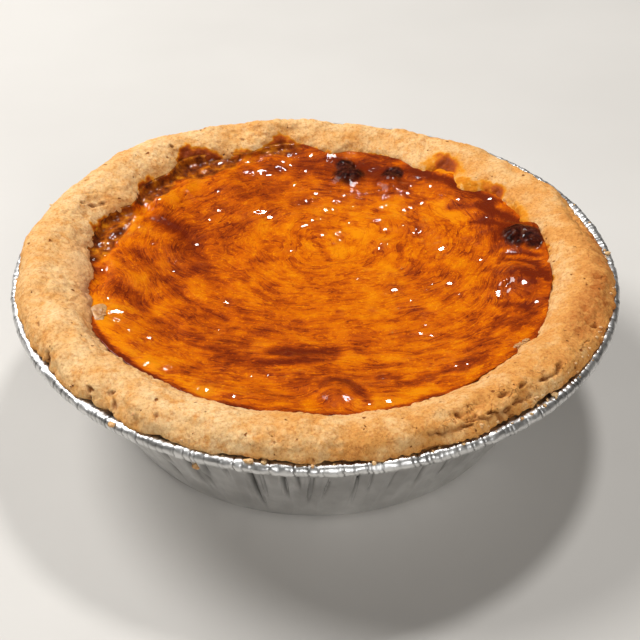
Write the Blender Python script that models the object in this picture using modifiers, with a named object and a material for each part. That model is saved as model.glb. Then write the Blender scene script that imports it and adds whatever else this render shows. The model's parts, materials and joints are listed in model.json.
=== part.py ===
"""A mini sweet potato pie in the crimped foil tin that it was baked in.

Three pieces nest with a hair's gap: the foil tin, the shortcrust shell with its thick uneven rim, and the
filling, whose caramelised skin has sunk in the middle and puffed up at the edge.
Metres, +Z up. The origin is on the table under the middle of the tin, and -Y is the front of the pie.
Angles are in degrees round the pie, anticlockwise from above: 0 is right, 90 back, 180 left, 270 front.
"""

import math
import random

import bpy
from mathutils import Vector, noise

MM = 0.001
STEPS = 120  # facets round every turned piece, so that neighbours stay parallel
GAP = 0.35 * MM  # kept between two pieces that touch

# Foil tin, a deep 5 inch pie pan
RIM_RADIUS = 63.5 * MM  # outside of the rolled edge
EDGE_RADIUS = 1.3 * MM  # of the rolled edge itself
TIN_HEIGHT = 32.5 * MM
BASE_RADIUS = 44.0 * MM  # where the wall's line would meet the table
WALL_TOP_RADIUS = 58.6 * MM
WALL_TOP = 29.8 * MM
FLANGE = 31.3 * MM  # height of the narrow ledge between the wall and the rolled edge
FOIL = 0.4 * MM
CORNER = 1.6 * MM  # height of the bend between base and wall
CREASE = 0.8 * MM  # how far a crimp in the wall stands out at its top
SAG = 1.5 * MM  # the soft tin and its crust dip at the back
SAG_ANGLE = 75
SAG_REACH = 30
SAG_START = 8 * MM  # height below which nothing dips

# Crust
CRUST_FLOOR = 3.2 * MM
CRUST_OUTER_RADIUS = 62.2 * MM  # the rim leans over the rolled edge
CRUST_INNER_RADIUS = 49.3 * MM
RIDGE_RADIUS = 56.8 * MM
RIDGE_HEIGHT = 36.1 * MM
RIM_FOOT = 31.4 * MM  # height at which the rim's inner and outer curves would stand upright
RIM_START, RIM_END = 10, 160  # share of the rim's half turn that shows, in degrees
INNER_SOFTNESS = 1.25  # above 1 the rim slopes down to the filling, below 1 it stands up
OUTER_SOFTNESS = 0.8
RIDGE_TILT = 0.4 * MM  # the rim baked higher at the front left than at the back right
RIDGE_TILT_ANGLE = 225
LIP = 33.2 * MM  # underside of the rim where it hangs over the rolled edge
LUMPS = 0.75 * MM  # swells in the dough, about 9 mm apart
CRAGS = 0.4 * MM  # crumbly relief, about 4 mm apart

# Bays in the rim's outer edge, (angle, depth, reach in degrees)
OUTER_BAYS = [
    (80, 2.6 * MM, 28),
    (103, 1.3 * MM, 4),
    (60, 0.6 * MM, 6),
    (36, 1.5 * MM, 13),
    (10, 2.1 * MM, 11),
    (155, 0.7 * MM, 6),
    (290, 0.6 * MM, 30),
    (232, 0.9 * MM, 3.5),
    (312, 0.7 * MM, 4),
]

# Bays in its inner edge, where a minus sign makes a lobe that runs out over the filling
INNER_BAYS = [
    (126, 2.6 * MM, 8),
    (97, 1.8 * MM, 7),
    (50, 2.4 * MM, 5),
    (31, 2.6 * MM, 5),
    (18, 1.6 * MM, 5),
    (185, -1.8 * MM, 6),
    (152, -3.0 * MM, 4),
    (134, -1.6 * MM, 3.5),
    (110, -1.8 * MM, 4),
    (86, -3.0 * MM, 4),
    (60, -2.8 * MM, 4),
    (42, -1.8 * MM, 4),
    (328, 1.0 * MM, 8),
    (215, 0.8 * MM, 8),
]

# Filling
SKIN_CENTRE = 27.4 * MM
SKIN_EDGE = 32.4 * MM
EDGE_LOWEST, EDGE_HIGHEST = 30.8 * MM, 33.1 * MM  # where the skin may meet the crust
BOWL_POWER = 2.4  # how flat the middle of the sunken skin is
FOLDS = 1.1 * MM  # folds that run round the bowl
FOLD_SPACING = 6.0 * MM
MOAT_DEPTH = 1.7 * MM  # trench where the skin pulled away from the crust, at the back left
MOAT_START, MOAT_END = 92, 200
MOAT_RADIUS = 46.8 * MM
MOAT_WIDTH = 1.7 * MM
MOAT_SIDE = 0.9 * MM  # how far up the crust the syrup in the moat climbs

# Swellings of the skin: angle, radius, height, reach
BLISTERS = [
    (151, 41.5 * MM, 1.8 * MM, 5.5 * MM),  # fold at the back left
    (187, 41.5 * MM, 1.5 * MM, 5.5 * MM),  # lobe at the left
    (166, 33.0 * MM, 0.8 * MM, 4.5 * MM),
    (122, 41.0 * MM, 1.0 * MM, 4.5 * MM),
    (78, 38.6 * MM, 2.0 * MM, 3.6 * MM),  # burnt, at the back
    (64, 40.7 * MM, 1.8 * MM, 3.2 * MM),  # burnt, beside it
    (47, 44.5 * MM, 1.2 * MM, 3.6 * MM),
    (13, 44.8 * MM, 2.1 * MM, 4.0 * MM),  # burnt, at the right
    (354, 42.0 * MM, 1.9 * MM, 5.0 * MM),  # the large one below it
    (262, 30.5 * MM, 1.0 * MM, 5.0 * MM),
    (275, 42.6 * MM, 1.5 * MM, 4.4 * MM),
    (309, 43.5 * MM, 0.9 * MM, 4.2 * MM),
]

# Marks in the rim: angle, radius, depth, reach round the rim, reach across it
DENTS = [
    (160, 51.5 * MM, 1.3 * MM, 4.0 * MM, 2.0 * MM),  # notch at the inner edge
    (110, 54.5 * MM, 1.2 * MM, 2.6 * MM, 4.5 * MM),  # finger dent at the back
    (335, 60.0 * MM, 1.3 * MM, 2.4 * MM, 1.6 * MM),  # small hole
    (298, 59.0 * MM, 1.2 * MM, 5.5 * MM, 1.4 * MM),  # crack along the outside
    (309, 61.0 * MM, 1.3 * MM, 2.4 * MM, 1.8 * MM),
    (232, 59.5 * MM, 1.2 * MM, 2.2 * MM, 3.0 * MM),  # crack down the front left
    (248, 60.5 * MM, 0.9 * MM, 3.5 * MM, 1.6 * MM),
    (10, 60.0 * MM, 0.9 * MM, 7.0 * MM, 2.0 * MM),
    (200, 51.0 * MM, 0.7 * MM, 6.0 * MM, 2.0 * MM),
]

# Inside of the crust below its rim, (radius, height): the filling's side runs along the same line
WELL = [
    (40.5 * MM, CRUST_FLOOR + FOIL + GAP),
    (43.0 * MM, 5.2 * MM),
    (46.8 * MM, 16.0 * MM),
    (CRUST_INNER_RADIUS - 0.3 * MM, 29.3 * MM),
]
WELL_TOP = WELL[-1][1]

# Rings of the filling's top, from the middle out, closer together towards the crust
SKIN_RINGS = 14
SKIN_OUTER_RING = 48.1 * MM
SKIN_RADII = [SKIN_OUTER_RING * (1 - (1 - ring / SKIN_RINGS) ** 1.6) for ring in range(SKIN_RINGS + 1)]


def smooth_step(low, high, value):
    """0 below low, 1 above high, and an even curve between them."""
    share = min(1.0, max(0.0, (value - low) / (high - low)))
    return share * share * (3 - 2 * share)


def turn_between(a, b):
    """The angle between two directions, in degrees."""
    return abs((a - b + 180) % 360 - 180)


def polar(radius, degrees):
    angle = math.radians(degrees)
    return Vector((radius * math.cos(angle), radius * math.sin(angle), 0))


def bays(degrees, marks):
    """How far a list of bays takes an edge out or in at this angle."""
    shares = [(turn_between(degrees, angle) / reach, depth) for angle, depth, reach in marks]
    return sum(depth * math.exp(-(away**2)) for away, depth in shares)


def sag(degrees, radius, height):
    """How far the tin and what it holds dip here."""
    share = smooth_step(SAG_START, FLANGE, height) * smooth_step(0, WALL_TOP_RADIUS, radius)
    return SAG * share * math.exp(-((turn_between(degrees, SAG_ANGLE) / SAG_REACH) ** 2))


def dent_depth(degrees, radius, dent):
    """How far one of DENTS pushes the rim in at this place."""
    angle, middle, depth, round_it, across_it = dent
    along = math.radians(turn_between(degrees, angle)) * radius / round_it
    across = (radius - middle) / across_it
    return depth * math.exp(-(along**2) - across**2)


def wall_radius(height):
    """Outside of the tin's wall at this height, without its creases."""
    return BASE_RADIUS + (WALL_TOP_RADIUS - BASE_RADIUS) * height / WALL_TOP


def arc(centre, radius, start, end, count):
    """Points on an arc in the (radius, height) plane, from one angle in degrees to another."""
    turns = [math.radians(start + (end - start) * i / (count - 1)) for i in range(count)]
    return [(centre[0] + radius * math.cos(a), centre[1] + radius * math.sin(a)) for a in turns]


def rim_profile(count):
    """The crust's rounded rim, from its inner edge over the ridge to the lip: unlike halves of an oval."""
    points = []
    for i in range(count):
        turn = math.radians(RIM_START + (RIM_END - RIM_START) * i / (count - 1))
        side, up = -math.cos(turn), math.sin(turn)
        inner = side < 0
        half = RIDGE_RADIUS - CRUST_INNER_RADIUS if inner else CRUST_OUTER_RADIUS - RIDGE_RADIUS
        softness = INNER_SOFTNESS if inner else OUTER_SOFTNESS
        out = math.copysign(abs(side) ** softness, side)
        points.append((RIDGE_RADIUS + half * out, RIM_FOOT + (RIDGE_HEIGHT - RIM_FOOT) * up**softness))
    return points


def tin_profile():
    inside = [
        (0, FOIL),
        (BASE_RADIUS - 2.0 * MM, FOIL),
        (wall_radius(CORNER) - FOIL, CORNER + 0.1 * MM),
        (WALL_TOP_RADIUS - FOIL, WALL_TOP + 0.3 * MM),
        (WALL_TOP_RADIUS + 0.8 * MM, FLANGE),
    ]
    edge = arc((RIM_RADIUS - EDGE_RADIUS, TIN_HEIGHT - EDGE_RADIUS), EDGE_RADIUS, 150, -165, 7)
    outside = [
        (WALL_TOP_RADIUS + 1.1 * MM, FLANGE - FOIL),
        (WALL_TOP_RADIUS, WALL_TOP),
        (wall_radius(CORNER), CORNER),
        (BASE_RADIUS - 1.4 * MM, 0),
        (0, 0),
    ]
    return inside + edge + outside


def crust_profile():
    floor = FOIL + GAP
    clear = FOIL + 1.4 * GAP
    upper = WALL_TOP - 0.6 * MM
    outside = [
        (CRUST_OUTER_RADIUS - 0.2 * MM, LIP),
        (RIM_RADIUS - 3.0 * MM, TIN_HEIGHT + 0.45 * MM),
        (WALL_TOP_RADIUS + 0.6 * MM, FLANGE + 1.2 * GAP),
        (wall_radius(upper) - clear, upper),
        (wall_radius(3.0 * MM) - clear, 3.0 * MM),
        (BASE_RADIUS - 3.2 * MM, floor),
        (0, floor),
    ]
    return [(0, WELL[0][1])] + WELL + rim_profile(14) + outside


def filling_profile():
    top = [(radius, skin_height(radius)) for radius in SKIN_RADII]
    edge = (CRUST_INNER_RADIUS - 1.2 * GAP, SKIN_EDGE)
    upper = [(radius - 1.2 * GAP, height + GAP) for radius, height in (WELL[3], WELL[2])]
    lower = [(radius - 5 * GAP, height + GAP) for radius, height in (WELL[1], WELL[0])]
    return top + [edge] + upper + lower + [(0, lower[-1][1])]


def skin_height(radius):
    """The skin's even bowl, before its folds and blisters."""
    return SKIN_CENTRE + (SKIN_EDGE - SKIN_CENTRE) * (radius / CRUST_INNER_RADIUS) ** BOWL_POWER


def edge_shift(degrees, height):
    """How far the crust's inner edge wanders out or in: the crust and the filling share it."""
    wander = 0.8 * MM * noise.noise(polar(5.0, degrees))
    return (wander + bays(degrees, INNER_BAYS)) * smooth_step(WELL[1][1] + 1 * MM, WELL[2][1], height)


def skin_relief(degrees, radius):
    """Folds, blisters and the moat, as a change of height."""
    place = polar(radius, degrees)
    swirl = 6 * MM * noise.noise(place / (20 * MM))
    fold = noise.noise(polar(1.7, degrees) + Vector((0, 0, (radius + swirl) / FOLD_SPACING)))
    shape = FOLDS * fold * smooth_step(6 * MM, 26 * MM, radius)
    for angle, middle, height, reach in BLISTERS:
        shape += height * math.exp(-(((place - polar(middle, angle)).length / reach) ** 2))
    in_moat = smooth_step(MOAT_START, MOAT_START + 18, degrees)
    in_moat *= 1 - smooth_step(MOAT_END - 14, MOAT_END, degrees)
    depth = MOAT_DEPTH * (1 + 0.6 * noise.noise(polar(7.0, degrees)))
    shape -= in_moat * depth * math.exp(-(((radius - MOAT_RADIUS) / MOAT_WIDTH) ** 2))
    return shape + in_moat * MOAT_SIDE * smooth_step(MOAT_RADIUS, CRUST_INNER_RADIUS, radius)


def rim_relief(degrees, radius, height):
    """The rim's swells, crags and dents, as a push out of the dough."""
    place = polar(radius, degrees) + Vector((0, 0, height))
    push = LUMPS * noise.noise(place / (8 * MM)) + CRAGS * noise.noise(place / (2.9 * MM))
    return push - sum(dent_depth(degrees, radius, dent) for dent in DENTS)


def shape_crust(degrees, radius, height):
    """The rim's tilt, its wandering edges and its relief. What lies in the tin stays true."""
    exposed = smooth_step(LIP + 0.2 * MM, LIP + 1.6 * MM, height)
    outer = smooth_step(RIDGE_RADIUS - 4 * MM, CRUST_OUTER_RADIUS, radius)
    outer *= smooth_step(FLANGE + 1.0 * MM, LIP, height)
    inner = 1 - smooth_step(CRUST_INNER_RADIUS, RIDGE_RADIUS, radius)
    off_edge = smooth_step(CRUST_INNER_RADIUS, CRUST_INNER_RADIUS + 2.5 * MM, radius)
    push = exposed * off_edge * rim_relief(degrees, radius, height)
    away = Vector((radius - RIDGE_RADIUS, height - RIM_FOOT)).normalized()
    lift = 0.5 * MM * abs(noise.noise(polar(8.0, degrees))) * outer * (1 - exposed)
    tilt = exposed * RIDGE_TILT * math.cos(math.radians(degrees - RIDGE_TILT_ANGLE))
    edge = 0.6 * MM * noise.noise(polar(6.0, degrees)) - bays(degrees, OUTER_BAYS)
    new_radius = radius + edge_shift(degrees, height) * inner + edge * outer + push * away.x
    return new_radius, height + tilt + lift + push * away.y - sag(degrees, radius, height)


def shape_filling(degrees, radius, height):
    """The top gets its folds, and the side follows the crust."""
    new_height = height
    if height > skin_height(radius) - 1 * MM:
        new_height += skin_relief(degrees, radius)
    if height > WELL_TOP + GAP + 1 * MM and radius > SKIN_OUTER_RING + 0.1 * MM:
        new_height = min(max(new_height, EDGE_LOWEST), EDGE_HIGHEST)
    follow = smooth_step(30 * MM, SKIN_OUTER_RING, radius)
    new_radius = radius + edge_shift(degrees, height) * follow
    return new_radius, new_height - sag(degrees, radius, height)


def material(name, colour, roughness, metallic=0.0):
    made = bpy.data.materials.new(name)
    made.use_nodes = True
    shader = made.node_tree.nodes["Principled BSDF"]
    shader.inputs["Base Color"].default_value = (*colour, 1)
    shader.inputs["Roughness"].default_value = roughness
    shader.inputs["Metallic"].default_value = metallic
    return made


def turned(name, profile, finish, collection):
    """A piece turned from its (radius, height) profile, which starts and ends on the axis."""
    outline = bpy.data.meshes.new(name + "_profile")
    outline.from_pydata([(r, 0, z) for r, z in profile], [(i, i + 1) for i in range(len(profile) - 1)], [])
    lathe = bpy.data.objects.new(name + "_lathe", outline)
    collection.objects.link(lathe)
    screw = lathe.modifiers.new("turn", "SCREW")
    screw.steps = screw.render_steps = STEPS
    screw.use_merge_vertices = True
    screw.merge_threshold = 0.00001
    graph = bpy.context.evaluated_depsgraph_get()
    mesh = bpy.data.meshes.new_from_object(lathe.evaluated_get(graph))
    bpy.data.objects.remove(lathe)
    mesh.name = name
    mesh.materials.append(finish)
    piece = bpy.data.objects.new(name, mesh)
    collection.objects.link(piece)
    return piece


def reshape(piece, move):
    """Moves every vertex: move takes its angle, radius and height and gives the new radius and height."""
    for vertex in piece.data.vertices:
        radius = math.hypot(vertex.co.x, vertex.co.y)
        degrees = math.degrees(math.atan2(vertex.co.y, vertex.co.x)) % 360
        new_radius, new_height = move(degrees, radius, vertex.co.z)
        if radius > MM:
            vertex.co.x *= new_radius / radius
            vertex.co.y *= new_radius / radius
        vertex.co.z = new_height
    piece.data.shade_smooth()
    piece.data.set_sharp_from_angle(angle=math.radians(50))


def make_tin(collection):
    finish = material("aluminium_foil", (0.78, 0.79, 0.81), 0.28, metallic=1.0)
    tin = turned("foil_tin", tin_profile(), finish, collection)
    chance = random.Random(5)
    crimps = [CREASE * (0.35 + 0.65 * chance.random()) * (step % 2) for step in range(STEPS)]

    def move(degrees, radius, height):
        on_wall = smooth_step(CORNER, WALL_TOP, height) if radius < WALL_TOP_RADIUS + 0.5 * MM else 0
        crimp = crimps[round(degrees * STEPS / 360) % STEPS]
        return radius + crimp * on_wall, height - sag(degrees, radius, height)

    reshape(tin, move)


def make_crust(collection):
    finish = material("baked_shortcrust", (0.62, 0.36, 0.14), 0.75)
    reshape(turned("crust", crust_profile(), finish, collection), shape_crust)


def make_filling(collection):
    finish = material("caramelised_filling", (0.62, 0.19, 0.01), 0.22)
    reshape(turned("filling", filling_profile(), finish, collection), shape_filling)


def main():
    for obj in list(bpy.data.objects):
        bpy.data.objects.remove(obj)
    pie = bpy.data.collections.new("sweet_potato_pie")
    bpy.context.scene.collection.children.link(pie)
    make_tin(pie)
    make_crust(pie)
    make_filling(pie)


main()
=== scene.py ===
"""The looks of a mini sweet potato pie: crinkled foil tin, sandy shortcrust, glossy caramelised filling.

Every piece is modelled finely over the solid that it stands for, so that it keeps the solid's form.
Metres, +Z up. The origin is on the floor under the middle of the tin, and -Y is the front of the pie.
Angles are in degrees round the pie, anticlockwise from above: 0 is right, 90 back, 180 left, 270 front.
The lists of marks give their places and sizes in millimetres, and the angles in degrees.
"""

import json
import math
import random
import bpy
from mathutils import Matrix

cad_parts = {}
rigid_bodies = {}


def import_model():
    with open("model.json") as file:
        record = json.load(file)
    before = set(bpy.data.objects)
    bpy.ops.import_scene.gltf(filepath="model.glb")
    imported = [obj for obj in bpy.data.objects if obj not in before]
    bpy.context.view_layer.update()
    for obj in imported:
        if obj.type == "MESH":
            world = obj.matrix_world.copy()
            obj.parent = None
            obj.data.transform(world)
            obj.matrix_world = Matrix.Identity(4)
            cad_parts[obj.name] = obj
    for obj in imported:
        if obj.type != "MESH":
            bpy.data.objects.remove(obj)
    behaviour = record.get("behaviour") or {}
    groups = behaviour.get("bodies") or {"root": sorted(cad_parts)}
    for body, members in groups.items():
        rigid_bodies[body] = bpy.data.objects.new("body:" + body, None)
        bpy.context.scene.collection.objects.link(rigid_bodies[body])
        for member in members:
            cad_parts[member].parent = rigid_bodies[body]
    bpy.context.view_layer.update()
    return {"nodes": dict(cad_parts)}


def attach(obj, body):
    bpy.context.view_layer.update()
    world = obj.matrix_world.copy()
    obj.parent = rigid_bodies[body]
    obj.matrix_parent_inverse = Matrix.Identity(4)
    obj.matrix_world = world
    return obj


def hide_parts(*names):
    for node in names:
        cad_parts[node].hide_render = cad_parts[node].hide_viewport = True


bl_info = {
    "name": "Sweet potato pie",
    "version": (1, 0, 0),
    "blender": (4, 5, 0),
    "location": "View3D > Sidebar > Pie",
    "description": "Dresses the solids of a mini sweet potato pie in foil, shortcrust and caramelised skin",
    "category": "Object",
}

from functools import partial

import bmesh
import bpy
import numpy as np
from bpy.props import FloatProperty, FloatVectorProperty, IntProperty, PointerProperty
from mathutils import Matrix, Vector, noise
from mathutils.bvhtree import BVHTree

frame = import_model()

MM = 0.001
CAD_STEPS = 120  # directions in which the solids have their points
WELD = 0.001 * MM  # points closer than this become one

# Foil tin
TIN_RADIUS = 63.5 * MM
TIN_HEIGHT = 32.5 * MM
EDGE_RADIUS = 1.3 * MM  # of the rolled edge
BASE_RADIUS = 44.0 * MM
WALL_TOP_RADIUS = 58.6 * MM
WALL_TOP = 29.8 * MM
FLANGE = 31.3 * MM
FOIL = 0.4 * MM
TIN_STEPS = 1500

# Crust
RIM_CORE = (57.5 * MM, 33.6 * MM)  # radius and height of a line in the dough that all of the rim faces
CRUST_STEPS = 1200
RIM_FROM = (49.15 * MM, 31.5 * MM)  # radius and height from which the crust shows
CRUST_CLEARANCE = 1.6 * MM  # between the crust's hidden side and the foil, whose creases reach inward

# Filling
SKIN_CELLS = 300  # faces across the skin
SKIN_HALF = 50 * MM  # half the grid that the skin is made from
SKIN_TUCK = 0.7 * MM  # how far the skin's edge sinks into the crust
SKIN_EVENING = 24  # rounds of smoothing over the solid's facets
OVERHEAD = 60 * MM  # where rays start that come down on the pie
DOWN = Vector((0, 0, -1))


# Numbers and noise


def smooth_step(low, high, values):
    """0 below low, 1 above high, and an even curve between them."""
    share = np.clip((np.asarray(values, float) - low) / (high - low), 0, 1)
    return share * share * (3 - 2 * share)


def turn_between(a, b):
    """The angle between directions, in degrees."""
    return np.abs((a - b + 180) % 360 - 180)


def polar(points):
    """Angle in degrees and radius of each point."""
    return np.degrees(np.arctan2(points[:, 1], points[:, 0])) % 360, np.hypot(points[:, 0], points[:, 1])


def at(degrees, radius, height=0.0):
    """The point at this angle, radius and height."""
    angle = math.radians(degrees)
    return Vector((radius * math.cos(angle), radius * math.sin(angle), height))


def swells(points, size, seed=0):
    """Even noise from about -1 to 1, with swells this far apart."""
    moved = points / size + 7.31 * seed
    return np.array([noise.noise(place) for place in moved.tolist()])


def layered(points, size, layers, seed=0):
    """Swells with finer and finer swells on them, each half as strong as the last."""
    return sum(swells(points, size / 2**layer, seed + layer) / 2**layer for layer in range(layers))


def cobbles(points, size, seed=0):
    """Distances to the nearest and next nearest of scattered centres, in cells of this size."""
    moved = points / size + 7.31 * seed
    return np.array([noise.voronoi(place)[0][:2] for place in moved.tolist()])


def toward(degrees, angle, wide):
    """1 in one direction, fading to 0 over this many degrees to each side."""
    return np.exp(-((turn_between(degrees, angle) / wide) ** 2))


def away_from(points, angle, radius):
    """How far each point lies from the place at this angle and at this radius in mm."""
    return np.linalg.norm(points - np.array(at(angle, radius * MM)), axis=1)


def distance_toward(degrees, rows):
    """The sum of several distances: angle, reach in degrees, how far in mm."""
    return sum(far * MM * toward(degrees, angle, wide) for angle, wide, far in rows)


def spot(degrees, radius, angle, middle, round_it, across_it):
    """1 at a place on the pie, fading to 0 over this many mm round the pie and across it."""
    along = np.radians(turn_between(degrees, angle)) * radius / (round_it * MM)
    across = (radius - middle * MM) / (across_it * MM)
    return np.exp(-(along**2) - across**2)


def spots(degrees, radius, marks):
    """The strongest of several spots: angle, radius, reach round the pie, reach across it."""
    return np.max([spot(degrees, radius, *mark) for mark in marks], axis=0)


def sum_of_spots(degrees, radius, marks):
    """The sum of several spots, each with its strength as the last number."""
    return sum(strength * spot(degrees, radius, *mark) for *mark, strength in marks)


# Meshes


def select_only(*pieces):
    bpy.ops.object.select_all(action="DESELECT")
    for piece in pieces:
        piece.select_set(True)
    bpy.context.view_layer.objects.active = pieces[0]


def points_of(piece, what="co"):
    """The piece's points, or their normals, as an array of rows."""
    rows = np.empty(len(piece.data.vertices) * 3)
    piece.data.vertices.foreach_get(what, rows)
    return rows.reshape(-1, 3)


def move_points(piece, points):
    piece.data.vertices.foreach_set("co", points.ravel())
    piece.data.update()


def push_out(points, radius, far):
    """Moves points away from the pie's axis, or towards it where the distance is negative."""
    points[:, :2] *= (1 + far / np.maximum(radius, MM))[:, None]


def keep_on_points(piece, **marks):
    """Stores a number, or a row of three, on each point under each name, for the piece's material."""
    for name, values in marks.items():
        kind, field = ("FLOAT_VECTOR", "vector") if values.ndim == 2 else ("FLOAT", "value")
        layer = piece.data.attributes.new(name, kind, "POINT")
        layer.data.foreach_set(field, values.ravel())


def new_piece(name, add_shape, **shape):
    """A new piece, alone in the selection, made by one of Blender's operators that add a shape."""
    bpy.ops.object.select_all(action="DESELECT")
    add_shape(**shape)
    piece = bpy.context.object
    piece.name = piece.data.name = name
    return piece


def turned(name, profile, steps):
    """A piece turned from its (radius, height) profile: one point extruded along it, then screwed round."""
    start = (profile[0][0], 0, profile[0][1])
    piece = new_piece(name, bpy.ops.mesh.primitive_plane_add, size=MM, location=start)
    bpy.ops.object.transform_apply()
    bpy.ops.object.mode_set(mode="EDIT")
    bpy.ops.mesh.select_all(action="SELECT")
    bpy.ops.mesh.merge(type="CENTER")
    for (radius, height), (next_radius, next_height) in zip(profile, profile[1:]):
        step = (next_radius - radius, 0, next_height - height)
        bpy.ops.mesh.extrude_region_move(TRANSFORM_OT_translate={"value": step})
    bpy.ops.object.mode_set(mode="OBJECT")
    screw = piece.modifiers.new("turn", "SCREW")
    screw.steps = screw.render_steps = steps
    screw.use_merge_vertices = True
    screw.merge_threshold = WELD
    bpy.ops.object.modifier_apply(modifier=screw.name)
    bpy.ops.object.mode_set(mode="EDIT")
    bpy.ops.mesh.select_all(action="SELECT")
    bpy.ops.mesh.remove_doubles(threshold=WELD)
    bpy.ops.mesh.normals_make_consistent(inside=False)
    bpy.ops.object.mode_set(mode="OBJECT")
    return piece


def arc(centre, radius, start, end, count):
    """Points on an arc in the (radius, height) plane, from one angle in degrees to another."""
    turns = [math.radians(start + (end - start) * i / (count - 1)) for i in range(count)]
    return [(centre[0] + radius * math.cos(a), centre[1] + radius * math.sin(a)) for a in turns]


def filled_in(profile, spacing):
    """The same profile with points added so that no two are further apart than the spacing."""
    points = [profile[0]]
    for (r0, z0), (r1, z1) in zip(profile, profile[1:]):
        count = max(1, math.ceil(math.hypot(r1 - r0, z1 - z0) / spacing))
        points += [(r0 + (r1 - r0) * i / count, z0 + (z1 - z0) * i / count) for i in range(1, count + 1)]
    return points


def tree_of(piece):
    """What casts a ray at a piece, or finds the place on it nearest to a point."""
    solid = bmesh.new()
    solid.from_mesh(piece.data)
    tree = BVHTree.FromBMesh(solid)
    solid.free()
    return tree


def even_out(piece, share, rounds, flat=False):
    """Smooths away the solid's flat facets, by a share from 0 to 1 for each point."""
    group = piece.vertex_groups.new(name="even_out")
    for level in np.unique(share[share > 0]):
        group.add(np.nonzero(share == level)[0].tolist(), float(level), "REPLACE")
    smooth = piece.modifiers.new("even_out", "SMOOTH")
    smooth.vertex_group = group.name
    smooth.iterations = rounds
    smooth.use_x = smooth.use_y = not flat
    select_only(piece)
    bpy.ops.object.modifier_apply(modifier=smooth.name)
    piece.vertex_groups.clear()


def outline_of(node, measure, directions):
    """The greatest radius or height that a solid has in each of the directions."""
    points = points_of(frame["nodes"][node])
    degrees, radius = polar(points)
    values = radius if measure == "radius" else points[:, 2]
    step = np.round(degrees * CAD_STEPS / 360).astype(int) % CAD_STEPS
    greatest = np.zeros(CAD_STEPS)
    np.maximum.at(greatest, step, values)
    angles = np.arange(CAD_STEPS) * 360 / CAD_STEPS
    return np.interp(directions, angles, greatest, period=360)


def edge_dip(degrees):
    """How far the tin's edge lies below its full height in each direction."""
    return TIN_HEIGHT - outline_of("foil_tin", "height", degrees)


def filling_edge(degrees):
    """The radius at which the filling ends in each direction."""
    return outline_of("filling", "radius", degrees)


def finish_piece(piece, finish, node):
    """Gives a piece its finish, and puts it in its solid's place."""
    piece.data.materials.clear()
    piece.data.materials.append(finish)
    select_only(piece)
    bpy.ops.object.shade_smooth()
    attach(piece, "root")
    if node:
        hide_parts(node)


# Materials


def linear(colour):
    """An sRGB hex colour as the linear numbers that a shader takes."""
    parts = [int(colour[i : i + 2], 16) / 255 for i in (1, 3, 5)]
    return (*[p / 12.92 if p <= 0.04045 else ((p + 0.055) / 1.055) ** 2.4 for p in parts], 1.0)


def add_node(tree, kind, settings=None, inputs=None, ramp=None, output=0):
    """Adds a node and gives back one of its outputs.

    Settings are the node's own options. Inputs, by name or number, are values or other nodes' outputs.
    """
    node = tree.nodes.new("ShaderNode" + kind)
    for name, value in (settings or {}).items():
        setattr(node, name, value)
    for name, value in (inputs or {}).items():
        if isinstance(value, bpy.types.NodeSocket):
            tree.links.new(value, node.inputs[name])
        else:
            node.inputs[name].default_value = value
    if ramp:
        stops = node.color_ramp.elements
        while len(stops) < len(ramp):
            stops.new(1.0)
        for stop, (place, colour) in zip(stops, ramp):
            stop.position = place
            stop.color = linear(colour) if isinstance(colour, str) else tuple(colour)
    return node.outputs[output] if node.outputs else node


def new_finish(name):
    """An empty material, and what adds a node to it."""
    finish = bpy.data.materials.new(name)
    finish.use_nodes = True
    finish.node_tree.nodes.clear()
    return finish, partial(add_node, finish.node_tree)


MULTIPLY = {"operation": "MULTIPLY"}
MULTIPLY_ADD = {"operation": "MULTIPLY_ADD"}
ADD = {"operation": "ADD"}
MAXIMUM = {"operation": "MAXIMUM"}
COLOUR_MIX = {"data_type": "RGBA"}  # its sockets are 0 share, 6 and 7 the colours, 2 the result
COLOUR_MULTIPLY = {"data_type": "RGBA", "blend_type": "MULTIPLY"}
BLACK = (0, 0, 0, 1)
WHITE = (1, 1, 1, 1)


def foil_finish(settings):
    """Soft rolled aluminium foil: bright satin metal, duller in patches, with shade painted darker down in
    its creases and grooves.
    """
    finish, add = new_finish("aluminium_foil")
    place = add("TexCoord", output="Object")
    crease = add("Attribute", {"attribute_name": "crease"}, output="Fac")
    dull = add("TexNoise", inputs={"Vector": place, "Scale": 1 / (6 * MM), "Detail": 4.0})
    tint = add("ValToRGB", inputs={"Fac": dull}, ramp=[(0.3, settings.dull), (0.7, settings.bright)])
    # painted shade: the crease mark darkens the foil down in the wall's creases and the edge's grooves
    colour = add("Mix", COLOUR_MIX, {0: crease, 6: tint, 7: linear("#403C39")}, output=2)
    lowest = settings.roughness
    spread = {"From Min": 0.35, "From Max": 0.7, "To Min": lowest, "To Max": lowest + 0.14}
    rough = add("MapRange", inputs={"Value": dull, **spread})
    grain = add("TexNoise", inputs={"Vector": place, "Scale": 1 / (0.6 * MM), "Detail": 2.0})
    normal = add("Bump", inputs={"Height": grain, "Strength": 0.6, "Distance": 0.03 * MM})
    metal = {"Base Color": colour, "Metallic": 1.0, "Roughness": rough, "Normal": normal}
    add("OutputMaterial", inputs={"Surface": add("BsdfPrincipled", inputs=metal)})
    return finish


# Pits in the dough: distance in mm, stretch along each axis, greatest size as a share of the distance
PIT_LAYERS = [(2.3, (1, 1, 1), 0.17), (3.1, (0.45, 1, 0.8), 0.12), (1.3, (1, 0.7, 1), 0.13)]
FLAKE_SIZE = 2.9 * MM  # of the flakes that the front of the rim parted into
# painted shade: the dark brown that fills the pits and cracks
PAINTED_PIT_SHADE = "#8C5122"  # inside the pits and cracks
SHELTERED_DOUGH = "#EBD0A8"  # where it took no colour

# Noise in the crust: size in mm, detail and roughness of its browned patches, mottle, sandy grain, soaking
# syrup and crumb
CRUST_NOISES = [(8, 5, 0.65), (2.4, 4, 0.65), (0.55, 3, 0.65), (1.6, 4, 0.6), (0.85, 4, 0.7)]


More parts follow.
